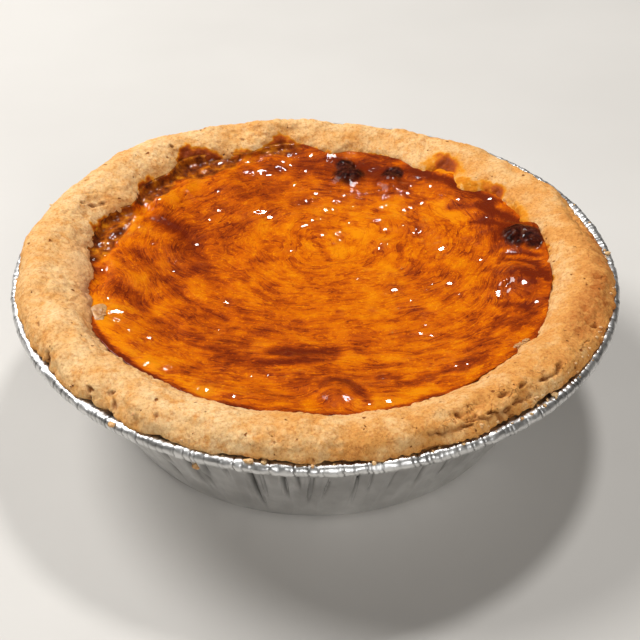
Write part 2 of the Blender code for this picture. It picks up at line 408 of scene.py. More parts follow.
def crust_finish(settings):
    """Baked shortcrust: matt and sandy, mottled gold with shade painted dark into small pits and cracks,
    glazed where syrup soaked in.
    """
    finish, add = new_finish("baked_shortcrust")
    place = add("TexCoord", output="Object")
    names = ("stain", "hollow", "browning", "pale", "flaky")
    marks = {name: add("Attribute", {"attribute_name": name}, output="Fac") for name in names}
    patches, mottle, grain, seep, crumb = [
        add(
            "TexNoise",
            inputs={"Vector": place, "Scale": 1 / (size * MM), "Detail": detail, "Roughness": rough},
        )
        for size, detail, rough in CRUST_NOISES
    ]
    # the browning mark holds real browning and painted shade on the right side and the left inner lip
    toast_and_shade = add("Math", ADD, {0: patches, 1: marks["browning"]})
    run = [(0.25, settings.pale), (0.47, settings.sandy), (0.66, settings.golden), (0.95, settings.brown)]
    dough = add("ValToRGB", inputs={"Fac": toast_and_shade}, ramp=run)
    gold = add("MapRange", inputs={"Value": mottle, "From Min": 0.48, "From Max": 0.66, "To Max": 0.85})
    dough = add("Mix", COLOUR_MIX, {0: gold, 6: dough, 7: tuple(settings.golden)}, output=2)
    dough = add("Mix", COLOUR_MIX, {0: marks["pale"], 6: dough, 7: linear(SHELTERED_DOUGH)}, output=2)
    speck = add("ValToRGB", inputs={"Fac": grain}, ramp=[(0.3, "#C08A58"), (0.52, "#F8F0E6"), (0.7, WHITE)])
    dough = add("Mix", COLOUR_MULTIPLY, {0: 0.6, 6: dough, 7: speck}, output=2)
    bend = add("TexNoise", inputs={"Vector": place, "Scale": 1 / (0.8 * MM), "Detail": 2.0}, output="Color")
    bent = add("VectorMath", MULTIPLY_ADD, {0: bend, 1: (0.9 * MM, 0.9 * MM, 0.9 * MM), 2: place})
    hollow = marks["hollow"]
    for apart, stretch, size in PIT_LAYERS:
        stretched = add("VectorMath", MULTIPLY, {0: bent, 1: stretch})
        away = add("TexVoronoi", inputs={"Vector": stretched, "Scale": 1 / (apart * MM)})
        chance = add("SeparateColor", inputs={"Color": away.node.outputs["Color"]})
        reach = add("MapRange", inputs={"Value": chance, "From Min": 0.5, "To Min": -0.1, "To Max": size})
        inside = add("Math", {"operation": "SUBTRACT"}, {0: reach, 1: away})
        pit = add("MapRange", inputs={"Value": inside, "From Min": -0.03, "From Max": 0.03})
        hollow = add("Math", MAXIMUM, {0: hollow, 1: pit})
    split = add("TexVoronoi", {"feature": "DISTANCE_TO_EDGE"}, {"Vector": bent, "Scale": 1 / FLAKE_SIZE})
    split = add("MapRange", inputs={"Value": split, "From Max": 0.05, "To Min": 1.0, "To Max": 0.0})
    parting = add("MapRange", inputs={"Value": mottle, "From Min": 0.47, "From Max": 0.58, "To Max": 0.75})
    parting = add("Math", MULTIPLY, {0: parting, 1: marks["flaky"]})
    hollow = add("Math", MULTIPLY_ADD, {0: split, 1: parting, 2: hollow})
    # painted shade in the pits, cracks and splits between flakes
    dough = add("Mix", COLOUR_MIX, {0: hollow, 6: dough, 7: linear(PAINTED_PIT_SHADE)}, output=2)
    seep = add("Math", MULTIPLY_ADD, {0: seep, 1: 0.5, 2: marks["stain"]})
    run = [(0.3, "#E8A840"), (0.5, "#E0901A"), (0.72, "#BC5808"), (0.92, "#8C3806")]
    syrup = add("ValToRGB", inputs={"Fac": seep}, ramp=run)
    soaked = add("MapRange", inputs={"Value": seep, "From Min": 0.36, "From Max": 0.54})
    colour = add("Mix", COLOUR_MIX, {0: soaked, 6: dough, 7: syrup}, output=2)
    matt_to_glazed = {"From Min": 0.5, "From Max": 1.0, "To Min": 0.85, "To Max": 0.42}
    rough = add("MapRange", inputs={"Value": seep, **matt_to_glazed})
    height = add("Math", MULTIPLY_ADD, {0: hollow, 1: -0.7, 2: crumb})
    normal = add("Bump", inputs={"Height": height, "Strength": 1.0, "Distance": 0.34 * MM})
    baked = {
        "Base Color": colour,
        "Roughness": rough,
        "Normal": normal,
        "Specular IOR Level": 0.15,
        "Subsurface Weight": 0.1,
        "Subsurface Radius": (1.0, 0.55, 0.25),
        "Subsurface Scale": 1.2 * MM,
    }
    add("OutputMaterial", inputs={"Surface": add("BsdfPrincipled", inputs=baked)})
    return finish


SYRUP_COLOURS = [(0.34, "#3C1403"), (0.45, "#6E2E06"), (0.55, "#9A4C08"), (0.66, "#CC7A10")]
CHAR_COLOURS = [(0.30, "#140402"), (0.45, "#2A0B06"), (0.58, "#45170C"), (0.72, "#62402F")]

# Section of a fine wrinkle, read from noise: a bright ridge, a dark line at once, then fading to even skin
# The bright ridge is a painted highlight; the dark line is darker caramel with painted shade in it.
EVEN = "#808080"
WRINKLE_SECTION = [(0, EVEN), (0.42, EVEN), (0.485, BLACK), (0.5, WHITE), (0.525, "#C8C8C8"), (0.6, EVEN)]

# Layers of fine wrinkles: how closely set, how fine their wander, how dark
WRINKLE_LAYERS = [(0.6, 3.0, 0.16), (1.2, 2.0, 0.15), (2.3, 1.0, 0.10)]

# Noise in the skin: size in mm, detail and roughness of its brown clouds, grain, syrup pools and char
SKIN_NOISES = [(5, 5, 0.6), (0.7, 2, 0.6), (2.6, 5, 0.62), (1.3, 4, 0.65)]


def filling_finish(settings):
    """Caramelised sweet potato custard: a wet skin, streaked orange and amber along the way it wrinkled."""
    finish, add = new_finish("caramelised_skin")
    place = add("TexCoord", output="Object")
    flow = add("Attribute", {"attribute_name": "flow"}, output="Vector")
    names = ("caramel", "burnt", "moat", "ripple", "dry")
    marks = {name: add("Attribute", {"attribute_name": name}, output="Fac") for name in names}
    clouds, grain, pools, crags = [
        add(
            "TexNoise",
            inputs={"Vector": place, "Scale": 1 / (size * MM), "Detail": detail, "Roughness": rough},
        )
        for size, detail, rough in SKIN_NOISES
    ]
    streaks = add("TexNoise", inputs={"Vector": flow, "Scale": 0.8, "Detail": 6.0, "Roughness": 0.66})
    # the caramel mark holds darker caramel and painted shade, in the folds and along the crust
    depth = add("Math", MULTIPLY_ADD, {0: streaks, 1: 0.40, 2: marks["caramel"]})
    depth = add("Math", MULTIPLY_ADD, {0: clouds, 1: 0.39, 2: depth})
    depth = add("Math", MULTIPLY_ADD, {0: grain, 1: 0.16, 2: depth})
    sparks = add("MapRange", inputs={"Value": grain, "From Min": 0.56, "From Max": 0.68, "To Max": -0.16})
    depth = add("Math", ADD, {0: depth, 1: sparks})
    wrinkles = 0.0
    for close, wander, dark in WRINKLE_LAYERS:
        wave = add("TexNoise", inputs={"Vector": flow, "Scale": close, "Detail": wander, "Distortion": 0.4})
        # painted highlight and shade of each fine wrinkle, as colour depth
        line = add("ValToRGB", inputs={"Fac": wave}, ramp=WRINKLE_SECTION)
        wrinkles = add("Math", MULTIPLY_ADD, {0: line, 1: dark, 2: wrinkles})
    shown = {"From Min": 0.36, "From Max": 0.6, "To Min": 0.3, "To Max": 1.3}
    shown = add("MapRange", inputs={"Value": clouds, **shown})
    depth = add("Math", MULTIPLY_ADD, {0: wrinkles, 1: shown, 2: depth})
    run = [(0.325, settings.bright), (0.465, settings.orange), (0.575, settings.amber)]
    run += [(0.705, settings.brown), (0.885, "#6A2004")]
    skin = add("ValToRGB", inputs={"Fac": depth}, ramp=run)
    syrup = add("ValToRGB", inputs={"Fac": pools}, ramp=SYRUP_COLOURS)
    char = add("ValToRGB", inputs={"Fac": crags}, ramp=CHAR_COLOURS)
    colour = add("Mix", COLOUR_MIX, {0: marks["moat"], 6: skin, 7: syrup}, output=2)
    colour = add("Mix", COLOUR_MIX, {0: marks["burnt"], 6: colour, 7: char}, output=2)
    crust = add("Math", MULTIPLY, {0: crags, 1: marks["burnt"]})
    height = add("Math", MULTIPLY_ADD, {0: wrinkles, 1: -1.3, 2: crust})
    height = add("Math", MULTIPLY_ADD, {0: streaks, 1: -0.9, 2: height})
    normal = add("Bump", inputs={"Height": height, "Strength": 1.0, "Distance": 0.18 * MM})
    calm = add("MapRange", inputs={"Value": marks["ripple"], "From Max": 0.7, "To Min": 1.0, "To Max": 0.0})
    glaze = add("Bump", inputs={"Height": height, "Strength": calm, "Distance": 0.025 * MM})
    dry = {"From Max": 1.0, "To Min": settings.gloss, "To Max": 0.25 * settings.gloss}
    wet = add("MapRange", inputs={"Value": marks["dry"], **dry})
    film = add("MapRange", inputs={"Value": marks["ripple"], "From Max": 0.7, "To Min": 0.5, "To Max": 1.0})
    wet = add("Math", MULTIPLY, {0: wet, 1: film})
    caramel = {
        "Base Color": colour,
        "Roughness": 0.4,
        "Normal": normal,
        "Specular IOR Level": 0.03,
        "Subsurface Weight": 0.1,
        "Subsurface Radius": (1.0, 0.3, 0.08),
        "Subsurface Scale": 1.5 * MM,
        "Coat Weight": wet,
        "Coat Roughness": 0.03,
        "Coat IOR": 1.45,
        "Coat Normal": glaze,
    }
    add("OutputMaterial", inputs={"Surface": add("BsdfPrincipled", inputs=caramel)})
    return finish


def raw_dough_finish():
    """Dough that stayed wet under the syrup: pale, greasy and let through by light, in coarse grains."""
    finish, add = new_finish("greasy_pale_dough")
    place = add("TexCoord", output="Object")
    grain = add("TexNoise", inputs={"Vector": place, "Scale": 1 / (0.9 * MM), "Detail": 3.0})
    run = [(0.35, "#A06A38"), (0.5, "#BE8C56"), (0.7, "#D0A270")]
    tint = add("ValToRGB", inputs={"Fac": grain}, ramp=run)
    normal = add("Bump", inputs={"Height": grain, "Strength": 0.8, "Distance": 0.2 * MM})
    greasy = {
        "Base Color": tint,
        "Roughness": 0.35,
        "Normal": normal,
        "Subsurface Weight": 0.3,
        "Subsurface Radius": (1.0, 0.6, 0.35),
        "Subsurface Scale": 1.5 * MM,
    }
    add("OutputMaterial", inputs={"Surface": add("BsdfPrincipled", inputs=greasy)})
    return finish


def floor_finish(settings):
    """Matt painted board: a pale even ground with the faintest mottle."""
    finish, add = new_finish("matt_painted_board")
    place = add("TexCoord", output="Object")
    mottle = add("TexNoise", inputs={"Vector": place, "Scale": 12.0, "Detail": 3.0})
    tint = add("ValToRGB", inputs={"Fac": mottle}, ramp=[(0.3, "#C9C5BF"), (0.7, settings.floor)])
    painted = {"Base Color": tint, "Roughness": 0.7}
    add("OutputMaterial", inputs={"Surface": add("BsdfPrincipled", inputs=painted)})
    return finish


# Foil tin


def wall_radius(height):
    return BASE_RADIUS + (WALL_TOP_RADIUS - BASE_RADIUS) * height / WALL_TOP


def tin_profile():
    """Inside from the middle out, over the rolled edge, and back underneath."""
    inside = [(0, FOIL), (BASE_RADIUS - 2.0 * MM, FOIL), (wall_radius(1.6 * MM) - FOIL, 1.7 * MM)]
    inside += [(WALL_TOP_RADIUS - FOIL, WALL_TOP + 0.3 * MM), (WALL_TOP_RADIUS + 0.8 * MM, FLANGE)]
    edge = arc((TIN_RADIUS - EDGE_RADIUS, TIN_HEIGHT - EDGE_RADIUS), EDGE_RADIUS, 150, -165, 19)
    ledge = [(WALL_TOP_RADIUS + 1.1 * MM, FLANGE - FOIL), (WALL_TOP_RADIUS + 0.3 * MM, WALL_TOP + 0.4 * MM)]
    wall = filled_in([(WALL_TOP_RADIUS, WALL_TOP), (wall_radius(3 * MM), 3 * MM)], 2.4 * MM)
    foot = [(wall_radius(1.4 * MM), 1.4 * MM), (BASE_RADIUS - 0.4 * MM, 0.35 * MM)]
    return inside + edge + ledge + wall + foot + [(BASE_RADIUS - 1.6 * MM, 0), (0, 0)]


# Sharp creases low on the front wall: angle at the top, lean in degrees to the bottom, depth, lowest height
CREASES = [
    (241, 3.5, 0.8, 5), (244, 3, 1, 8), (247.5, -2.5, 0.7, 12), (251, 1, 0.6, 14), (256.5, 0.8, 1.2, 3),
    (259, -1, 0.8, 8), (263, 0.6, 1, 9), (265.5, 1.6, 0.9, 13), (269.5, -2.6, 1.2, 7),
    (273.5, -4, 0.9, 9), (277.5, 0.6, 1.1, 6), (280, 1.6, 0.8, 10), (286, -1, 0.6, 9), (291, 1.4, 0.7, 9),
    (296, 2.4, 1, 6), (303, 2, 0.8, 8),
]
CREASE_WIDTH = 0.55  # degrees
OTHER_CREASES = 50
OTHER_CREASE_RANGES = ((-50, 236), (-3, 3), (0.5, 1.1), (2, 14))  # of the same four measures

# What is drawn for each pleat: width, lean and distance to the next in degrees, and its height as a share
PLEAT_WIDTHS = (1.6, 4.2)
PLEAT_HEIGHTS = (0.2, 1.0)
PLEAT_LEANS = (-1.5, 1.5)
PLEAT_GAPS = (0.2, 2.0)
PLEAT_LEVEL = 0.55  # the share of a pleat's height at which the solid's wall lies
CRINKLE_HEIGHT = 0.14 * MM

# What is drawn for each groove across the rolled edge, as shares: its depth, its distance to the next
GROOVE_DEPTHS = (0.1, 1.0)
GROOVE_GAPS = (0.55, 1.45)
GROOVE_SLANT = 3.0  # degrees, over the tin's height
EDGE_SINK = 0.06 * MM  # how far the edge is drawn into its solid, to leave room for bulges


def wall_relief(degrees, height, chance):
    """How far the wall stands out in its pleats and creases, and how deep each point lies in a crease."""
    pleat = np.zeros(len(degrees))
    angle = 0.0
    while angle < 360:
        width = chance.uniform(*PLEAT_WIDTHS)
        tall = chance.uniform(*PLEAT_HEIGHTS)
        away = turn_between(degrees, angle + (height / WALL_TOP - 0.5) * chance.uniform(*PLEAT_LEANS))
        pleat += tall * np.maximum(0, 1 - away / (0.5 * width)) ** 1.3
        angle += width + chance.uniform(*PLEAT_GAPS)
    others = [[chance.uniform(*limits) for limits in OTHER_CREASE_RANGES] for _ in range(OTHER_CREASES)]
    ridge = np.zeros(len(degrees))
    valley = np.zeros(len(degrees))
    for angle, lean, depth, end in CREASES + others:
        centre = angle + lean * (1 - height / WALL_TOP)
        away = (degrees - centre + 180) % 360 - 180
        fade = depth * smooth_step(end * MM, (end + 7) * MM, height)
        ridge += fade * np.maximum(0, 1 - np.abs(away) / CREASE_WIDTH)
        valley += fade * np.maximum(0, 1 - np.abs(away - 1.3 * CREASE_WIDTH) / CREASE_WIDTH)
    return np.minimum(pleat, 1.3), ridge - 0.8 * valley, np.clip(valley, 0, 1)


def edge_grooves(spacing, chance):
    """How deep the rolled edge is grooved in each direction, from 0 to 1, at uneven distances."""
    depth = np.zeros(TIN_STEPS)
    gap = spacing * TIN_STEPS / (2 * math.pi * TIN_RADIUS)
    step = 0.0
    while step < TIN_STEPS:
        depth[int(step)] = chance.uniform(*GROOVE_DEPTHS) ** 1.5
        step += gap * chance.uniform(*GROOVE_GAPS)
    return depth


def shape_tin(piece, settings):
    """Pleats and creases in the wall, a grooved rolled edge, small crinkles, and the dip at the back."""
    points = points_of(piece)
    degrees, radius = polar(points)
    height = points[:, 2].copy()
    chance = random.Random(11)
    on_wall = smooth_step(1.2 * MM, 7 * MM, height) * (1 - smooth_step(WALL_TOP + 0.5 * MM, FLANGE, height))
    on_wall *= radius < WALL_TOP_RADIUS + 0.6 * MM
    inside = radius < wall_radius(height) - 0.5 * FOIL
    pleat, crease, valley = wall_relief(degrees, height, chance)
    crinkle = swells(points, 3.5 * MM, 1) + 0.5 * swells(points, 1.6 * MM, 2)
    push = settings.pleat_depth * (pleat - PLEAT_LEVEL) + settings.crease_depth * crease
    push = (push + CRINKLE_HEIGHT * crinkle) * on_wall
    push[inside] = np.minimum(push[inside], 0.0)
    at_edge = smooth_step(WALL_TOP_RADIUS + 1.5 * MM, TIN_RADIUS - 1.5 * MM, radius) * (height > WALL_TOP)
    grooves = edge_grooves(settings.groove_spacing, chance)
    slant = (height - TIN_HEIGHT) / TIN_HEIGHT * GROOVE_SLANT
    groove = grooves[np.round((degrees + slant) * TIN_STEPS / 360).astype(int) % TIN_STEPS]
    dents = 0.12 * swells(points, 3.2 * MM, 4) + 0.19 * swells(points, 1.3 * MM, 3)
    edge_push = at_edge * (dents * MM - settings.groove_depth * groove - EDGE_SINK)
    edge_out = (radius - (TIN_RADIUS - EDGE_RADIUS)) / EDGE_RADIUS
    edge_up = (height - (TIN_HEIGHT - EDGE_RADIUS)) / EDGE_RADIUS
    out = push + edge_push * np.clip(edge_out, -1, 1)
    up = edge_push * np.clip(edge_up, -1, 1)
    dip = edge_dip(degrees) * smooth_step(8 * MM, FLANGE, height)
    dip *= smooth_step(0, WALL_TOP_RADIUS, radius)
    share = np.where(radius > MM, (radius + out) / np.maximum(radius, MM), 1)
    points[:, :2] *= share[:, None]
    points[:, 2] = height + up - dip
    move_points(piece, points)
    # painted shade for the finish: how far down in a crease or groove each point lies
    keep_on_points(piece, crease=np.clip(0.9 * valley * on_wall + 0.8 * groove * at_edge, 0, 1))


class PIE_OT_foil_tin(bpy.types.Operator):
    """Makes the foil tin: a turned sheet with its wall pleated and its edge rolled"""

    bl_idname = "pie.foil_tin"
    bl_label = "Foil tin"

    def execute(self, context):
        settings = context.scene.pie.tin
        tin = turned("foil_tin_crinkled", tin_profile(), TIN_STEPS)
        shape_tin(tin, settings)
        finish_piece(tin, foil_finish(settings), "foil_tin")
        return {"FINISHED"}


# Crust


def rim_points():
    """The rim's nominal section as (radius, height) points about a quarter of a millimetre apart."""
    corners = [
        (49.2, 31.6), (50.0, 32.4), (51.4, 33.6), (53.2, 34.9), (55.0, 35.8), (56.8, 36.1), (58.6, 35.9),
        (60.2, 35.3), (61.4, 34.4), (62.1, 33.6), (62.0, 33.2),
    ]
    return filled_in([(r * MM, z * MM) for r, z in corners], 0.27 * MM)


def crust_profile():
    """From the middle of the well up its side, over the rim and down inside the tin."""
    well = [(0, 3.95), (40.5, 3.95), (43, 5.2), (46.8, 16), (48.6, 26.5), (49, 29.3), (49.1, 30.6)]
    under = [(61.3, 33.05), (60.5, 32.95), (59.2, 31.7), (58, 29.2), (52, 16.5), (45, 3), (40.8, 0.75)]
    well, under = [[(r * MM, z * MM) for r, z in part] for part in (well, under + [(0, 0.75)])]
    return well + rim_points() + under


def lay_on_rim(piece):
    """Moves the turned crust onto its solid, by rays from inside the rim or to the nearest place."""
    tree = tree_of(frame["nodes"]["crust"])
    points = points_of(piece)
    degrees, radius = polar(points)
    dip = edge_dip(degrees)
    exposed = (radius > RIM_FROM[0]) & (points[:, 2] > RIM_FROM[1])
    placed = points.copy()
    for i in range(len(points)):
        if radius[i] < MM:
            continue
        if exposed[i]:
            core = at(degrees[i], RIM_CORE[0], RIM_CORE[1] - dip[i])
            ray = Vector(points[i]) - at(degrees[i], RIM_CORE[0], RIM_CORE[1])
            hit = tree.ray_cast(core, ray)[0]
        else:
            lower = dip[i] if points[i][2] > FLANGE - 2 * MM else 0
            hit = tree.find_nearest(Vector(points[i]) - Vector((0, 0, lower)))[0]
        if hit:
            placed[i] = hit
    move_points(piece, placed)
    return exposed


# Syrup that climbed the crust: angle, reach in degrees, how far past the filling's edge, how deep in colour
STAINS = [
    (166, 8, 1.8, 0.6), (143, 6, 2.4, 0.6), (124, 9, 3.4, 0.66), (111, 5, 2.6, 0.5), (100, 7, 2.8, 0.6),
    (88, 5, 1.6, 0.6), (73, 6, 1, 0.7), (42, 3.5, 1.6, 0.5), (5, 6, 1.6, 0.55), (352, 9, 1.2, 0.6),
    (336, 6, 0.9, 0.45), (230, 30, 0.35, 0.7), (285, 22, 0.35, 0.5),
]

# Small holes and cracks: angle, radius, reach round the pie, reach across it
CRUST_HOLES = [
    (334.7, 59.7, 0.7, 0.4), (297.5, 59.4, 1.8, 0.25), (301, 60.3, 1.4, 0.25), (309.5, 58.8, 1, 0.25),
    (228.5, 61.2, 1.1, 0.4), (233.8, 61.2, 0.9, 0.4), (231.9, 59, 0.35, 0.7), (215.4, 61.6, 1, 0.5),
    (110, 52.2, 0.6, 0.4), (129, 54.6, 0.4, 0.4),
]

# Where the lip stands off the tin: angle, reach in degrees, how far it is drawn back
LIP_GAPS = [
    (304, 1.6, 0.6), (307.5, 1.6, 0.5), (313, 3.5, 0.7), (319, 3, 0.4), (340, 5, 0.4), (257.5, 5, 0.15),
    (268, 6, 0.15), (228.6, 1.3, 0.55), (232.6, 0.7, 0.4), (243.5, 1.8, 0.7), (85, 30, 0.3),
]

# Where it reaches further out instead
LIP_FILLS = [
    (297, 5, 0.5), (287, 8, 0.3), (239, 2.6, 0.35), (235, 1.6, 0.6), (230.8, 0.8, 0.45),
]

# Where the rim leans in over the filling: angle, reach in degrees, how far
LEANS = [
    (190, 9, 1), (201, 7, 1.2), (324, 3, 0.9), (118, 5, 0.6), (54, 5, 1.6), (44, 8, 3.8), (29, 6, 2.8),
    (18.5, 4, 2.6),
]

# Cracks in the rim: places along each as (angle, radius)
CRACKS = [
    [(295.4, 58.0), (296.1, 59.9), (298.0, 60.6), (300.2, 60.8), (303.3, 61.0), (304.9, 60.8)],
    [(288.9, 60.7), (291.7, 60.9), (294.5, 60.6), (297.0, 60.9)],
    [(305.0, 60.8), (307.1, 60.4), (310.2, 60.3)],
    [(304.3, 58.4), (306.7, 58.8)],
    [(297.9, 57.0), (298.0, 58.2)],
    [(313, 59.6), (317, 60.4), (320, 59.4)],
    [(231.6, 59.4), (232.8, 60.0), (234.3, 60.7)],
    [(162, 54.4), (160, 52.4), (158, 51.2)],
    [(242.5, 60.2), (243, 61)],
]
CRACK_WIDTH = 0.26 * MM
HOLLOW_DEPTH = 0.65 * MM  # of the cracks and holes
LEAN_DROP = 0.14  # how far the rim sinks where it leans in, as a share of the lean
RIDGE_RADIUS = 57 * MM  # outside this the rim slopes down to its lip
CRUST_EVENING = 12  # rounds of smoothing over the solid's facets
RELIEF_FROM = (29.8 * MM, 31.0 * MM)  # heights between which the relief sets in
LIP_HEIGHTS = (32.9 * MM, 34.6 * MM)  # up to the first all of the dough hangs, from the other none
LEAN_REACH = (0.8 * MM, 7.0 * MM)  # distances from the filling between which the lean fades out

# Angle, radius, reach round the pie and across it
FLAKY_PART = (306, 60, 24, 4)
SHELTERED_PART = (190, 49.5, 26, 2.6)

# Syrup that boiled over onto the rim: angle, radius, reach round the pie and across it, how deep in colour
BLOBS = [
    (51.8, 49, 7.2, 4.4, 0.38), (52.2, 50.2, 5, 2.8, 0.62), (45, 46, 3.4, 2, 0.34),
    (40, 46.8, 5.4, 2.2, 0.34), (35.6, 48.4, 4.2, 2.4, 0.4), (33, 49.8, 2.6, 2, 0.58),
    (22.5, 48.4, 7, 2.8, 0.32),
]

# Parts of the rim that browned more, with painted shade on the right side and along the left inner lip:
# angle, radius, reach round the pie and across it, how much
BROWNED_AND_SHADED = [
    (356, 59, 30, 6, 0.42), (325, 58, 14, 5, 0.16), (300, 58, 8, 3, 0.14), (285, 60, 16, 2.4, 0.14),
    (231, 59.5, 4, 2, 0.1), (238, 57, 16, 5, -0.18), (268, 56, 20, 4, 0.1), (198, 49.2, 11, 2.2, 0.42),
    (95, 56, 34, 6, -0.1), (48, 57, 16, 6, 0.17),
]


def line_distance(points, places):
    """How far each point lies, seen from above, from a line through the places."""
    line = [np.array(at(angle, middle * MM))[:2] for angle, middle in places]
    nearest = np.full(len(points), 1.0)
    for start, end in zip(line, line[1:]):
        from_start = points[:, :2] - start
        along = np.clip(from_start @ (end - start) / ((end - start) ** 2).sum(), 0, 1)
        nearest = np.minimum(nearest, np.linalg.norm(from_start - along[:, None] * (end - start), axis=1))
    return nearest


def syrup_on(points, degrees, radius):
    """How deep in colour the syrup is that soaked into the crust, from 0 to 1."""
    past = radius - filling_edge(degrees)
    past += 1.1 * MM * swells(points, 2.6 * MM, 21) + 0.7 * MM * swells(points, 1.1 * MM, 22)
    stain = np.zeros(len(points))
    for angle, wide, far, deep in STAINS:
        climb = (far + 1.2) * MM * toward(degrees, angle, wide) - 1.2 * MM
        reached = 1 - smooth_step(-1.6 * MM, 0.5 * MM, past - climb)
        stain = np.maximum(stain, deep * reached)
    return stain


def boiled_over(points):
    """The same for the syrup that boiled over, by where the points have come to lie."""
    degrees, radius = polar(points)
    wander = 0.4 * layered(points, 3.0 * MM, 3, 26)
    stain = np.zeros(len(points))
    for *mark, deep in BLOBS:
        blob = spot(degrees, radius, *mark) * (1 + wander)
        stain = np.maximum(stain, deep * smooth_step(0.2, 0.95, blob))
    return stain


def crumbly_relief(points, bent, coarse, inner):
    """How far the dough stands out in lumps, crumbs and small dents, patch by patch."""
    fine = cobbles(bent, 1.05 * MM, 8)
    patch = smooth_step(-0.2, 0.35, swells(points, 9 * MM, 12))
    relief = 0.34 * MM * layered(points, 7 * MM, 3, 5)
    relief += (0.10 + 0.16 * patch) * MM * (1 - 1.6 * coarse[:, 0])
    relief += 0.15 * MM * (0.6 - fine[:, 0]) + 0.08 * MM * swells(points, 0.7 * MM, 11)
    relief -= 0.12 * MM * patch * (1 - smooth_step(0.0, 0.25, coarse[:, 1] - coarse[:, 0]))
    by_filling = 1 - smooth_step(0.5 * MM, 2.6 * MM, inner)
    return relief + by_filling * 0.3 * MM * layered(points, 1.9 * MM, 2, 14)


def openings(points, degrees, radius, ragged):
    """How far open the dough is in its cracks and holes, from 0 to 1."""
    crack = np.abs(swells(points * (1, 1, 1.6), 5 * MM, 18))
    where = smooth_step(0.22, 0.45, swells(points, 6 * MM, 19)) * smooth_step(56.5 * MM, 60 * MM, radius)
    cracks = 0.8 * (1 - smooth_step(0.006, 0.03, crack)) * where
    parted = np.clip(0.85 + 1.1 * swells(points, 1.6 * MM, 28), 0, 1) * (radius > 50 * MM)
    for places in CRACKS:
        away = line_distance(points, places) + 0.9 * ragged
        cracks = np.maximum(cracks, np.exp(-((away / CRACK_WIDTH) ** 2)) * parted)
    turned_by = np.degrees(ragged / radius.clip(MM))
    holes = smooth_step(0.25, 0.8, spots(degrees + turned_by, radius + ragged, CRUST_HOLES))
    return np.clip(np.maximum(cracks, holes), 0, 1)


def shape_crust(piece, exposed, settings):
    """The dough's lumps, crumbly grain, cracks and ragged lip, and the marks that its finish reads."""
    points = points_of(piece)
    normals = points_of(piece, "normal")
    degrees, radius = polar(points)
    inner = radius - filling_edge(degrees)
    shown = exposed * smooth_step(*RELIEF_FROM, points[:, 2])
    bent = points + 0.3 * MM * swells(points, 1.1 * MM, 9)[:, None]
    coarse = cobbles(bent, 2.1 * MM, 6)
    relief = crumbly_relief(points, bent, coarse, inner)
    ragged = 0.5 * MM * layered(points, 1.5 * MM, 2, 24)
    hollow = openings(points, degrees, radius, ragged)
    flakes = spot(degrees, radius, *FLAKY_PART)
    relief += flakes * 0.45 * MM * (0.5 - cobbles(bent + 0.5 * ragged[:, None], 2.6 * MM, 27)[:, 0])
    relief -= HOLLOW_DEPTH * hollow
    points += normals * (settings.relief * relief * shown)[:, None]

    outward = (normals[:, :2] * points[:, :2]).sum(1) / np.maximum(radius, MM)
    drawn_in = CRUST_CLEARANCE * smooth_step(1.5 * MM, 5 * MM, points[:, 2])
    drawn_in *= ~exposed & (outward > 0.3)
    push_out(points, radius, -drawn_in * (1 - smooth_step(30.5 * MM, 31.8 * MM, points[:, 2])))

    hang = exposed * (1 - smooth_step(*LIP_HEIGHTS, points[:, 2])) * (radius > RIDGE_RADIUS)
    drawn_back = distance_toward(degrees, LIP_GAPS) - distance_toward(degrees, LIP_FILLS)
    ragged = 0.4 * MM * layered(points, 2.2 * MM, 3, 20)
    push_out(points, radius, hang * (settings.lip_reach + ragged - drawn_back))
    points[:, 2] -= hang * (settings.lip_drop - 0.3 * drawn_back)

    lean = distance_toward(degrees, LEANS) + 0.3 * MM * layered(points, 2.8 * MM, 2, 25)
    lean *= exposed * (1 - smooth_step(*LEAN_REACH, inner))
    push_out(points, radius, -lean)
    points[:, 2] -= LEAN_DROP * lean
    move_points(piece, points)

    low = 1 - smooth_step(32.6 * MM, 34.6 * MM, points[:, 2])
    # browning, with painted shade on the right side and along the left inner lip
    browning = 0.10 * low * (radius > RIDGE_RADIUS) - 0.10 * (1 - 1.6 * coarse[:, 0])
    browning += 0.12 * swells(points, 14 * MM, 23) + sum_of_spots(degrees, radius, BROWNED_AND_SHADED)
    stain = np.maximum(syrup_on(points, degrees, radius), boiled_over(points))
    pale = 0.35 * spot(degrees, radius, *SHELTERED_PART)
    keep_on_points(piece, stain=stain, hollow=hollow, flaky=flakes, browning=browning, pale=pale)


class PIE_OT_crust(bpy.types.Operator):
    """Makes the shortcrust shell: turned, laid on its solid, then crumbled"""

    bl_idname = "pie.crust"
    bl_label = "Shortcrust"

    def execute(self, context):
        settings = context.scene.pie.crust
        crust = turned("crust_baked", crust_profile(), CRUST_STEPS)
        exposed = lay_on_rim(crust)
        even_out(crust, exposed.astype(float), CRUST_EVENING)
        shape_crust(crust, exposed, settings)
        finish_piece(crust, crust_finish(settings), "crust")
        return {"FINISHED"}


# Filling

WRINKLE_SPACING = 1.35 * MM
WRINKLE_LENGTH = 7.0 * MM
WRINKLE_MIDDLE = (3 * MM, 13 * MM)  # of the ellipses that the wrinkles follow
WRINKLE_SQUEEZE = 0.7  # depth of those ellipses as a share of their width

# Swellings that the wrinkles wrap round: angle, radius, reach, pull
WRINKLE_CENTRES = [
    (354, 42, 6.5, 5.5), (13, 45, 5, 4), (187, 42, 7.5, 5), (150, 43, 8, 4.5), (168, 30, 8, -3),
    (78, 39, 4.5, 4), (64, 41, 4, 3), (275, 42.6, 4.5, 4), (309, 44, 4.5, -3), (119, 14, 5, 4),
    (40, 20, 8, 3),
]

# Burnt blisters: angle, radius, reach round the pie, reach across it
BURNT = [
    (79, 40, 4.2, 4.9), (80.6, 43.8, 2.8, 2.8), (65, 43.2, 3, 3.4), (12.8, 44.8, 4.2, 3),
    (10.4, 47.8, 4.2, 2.6),
]

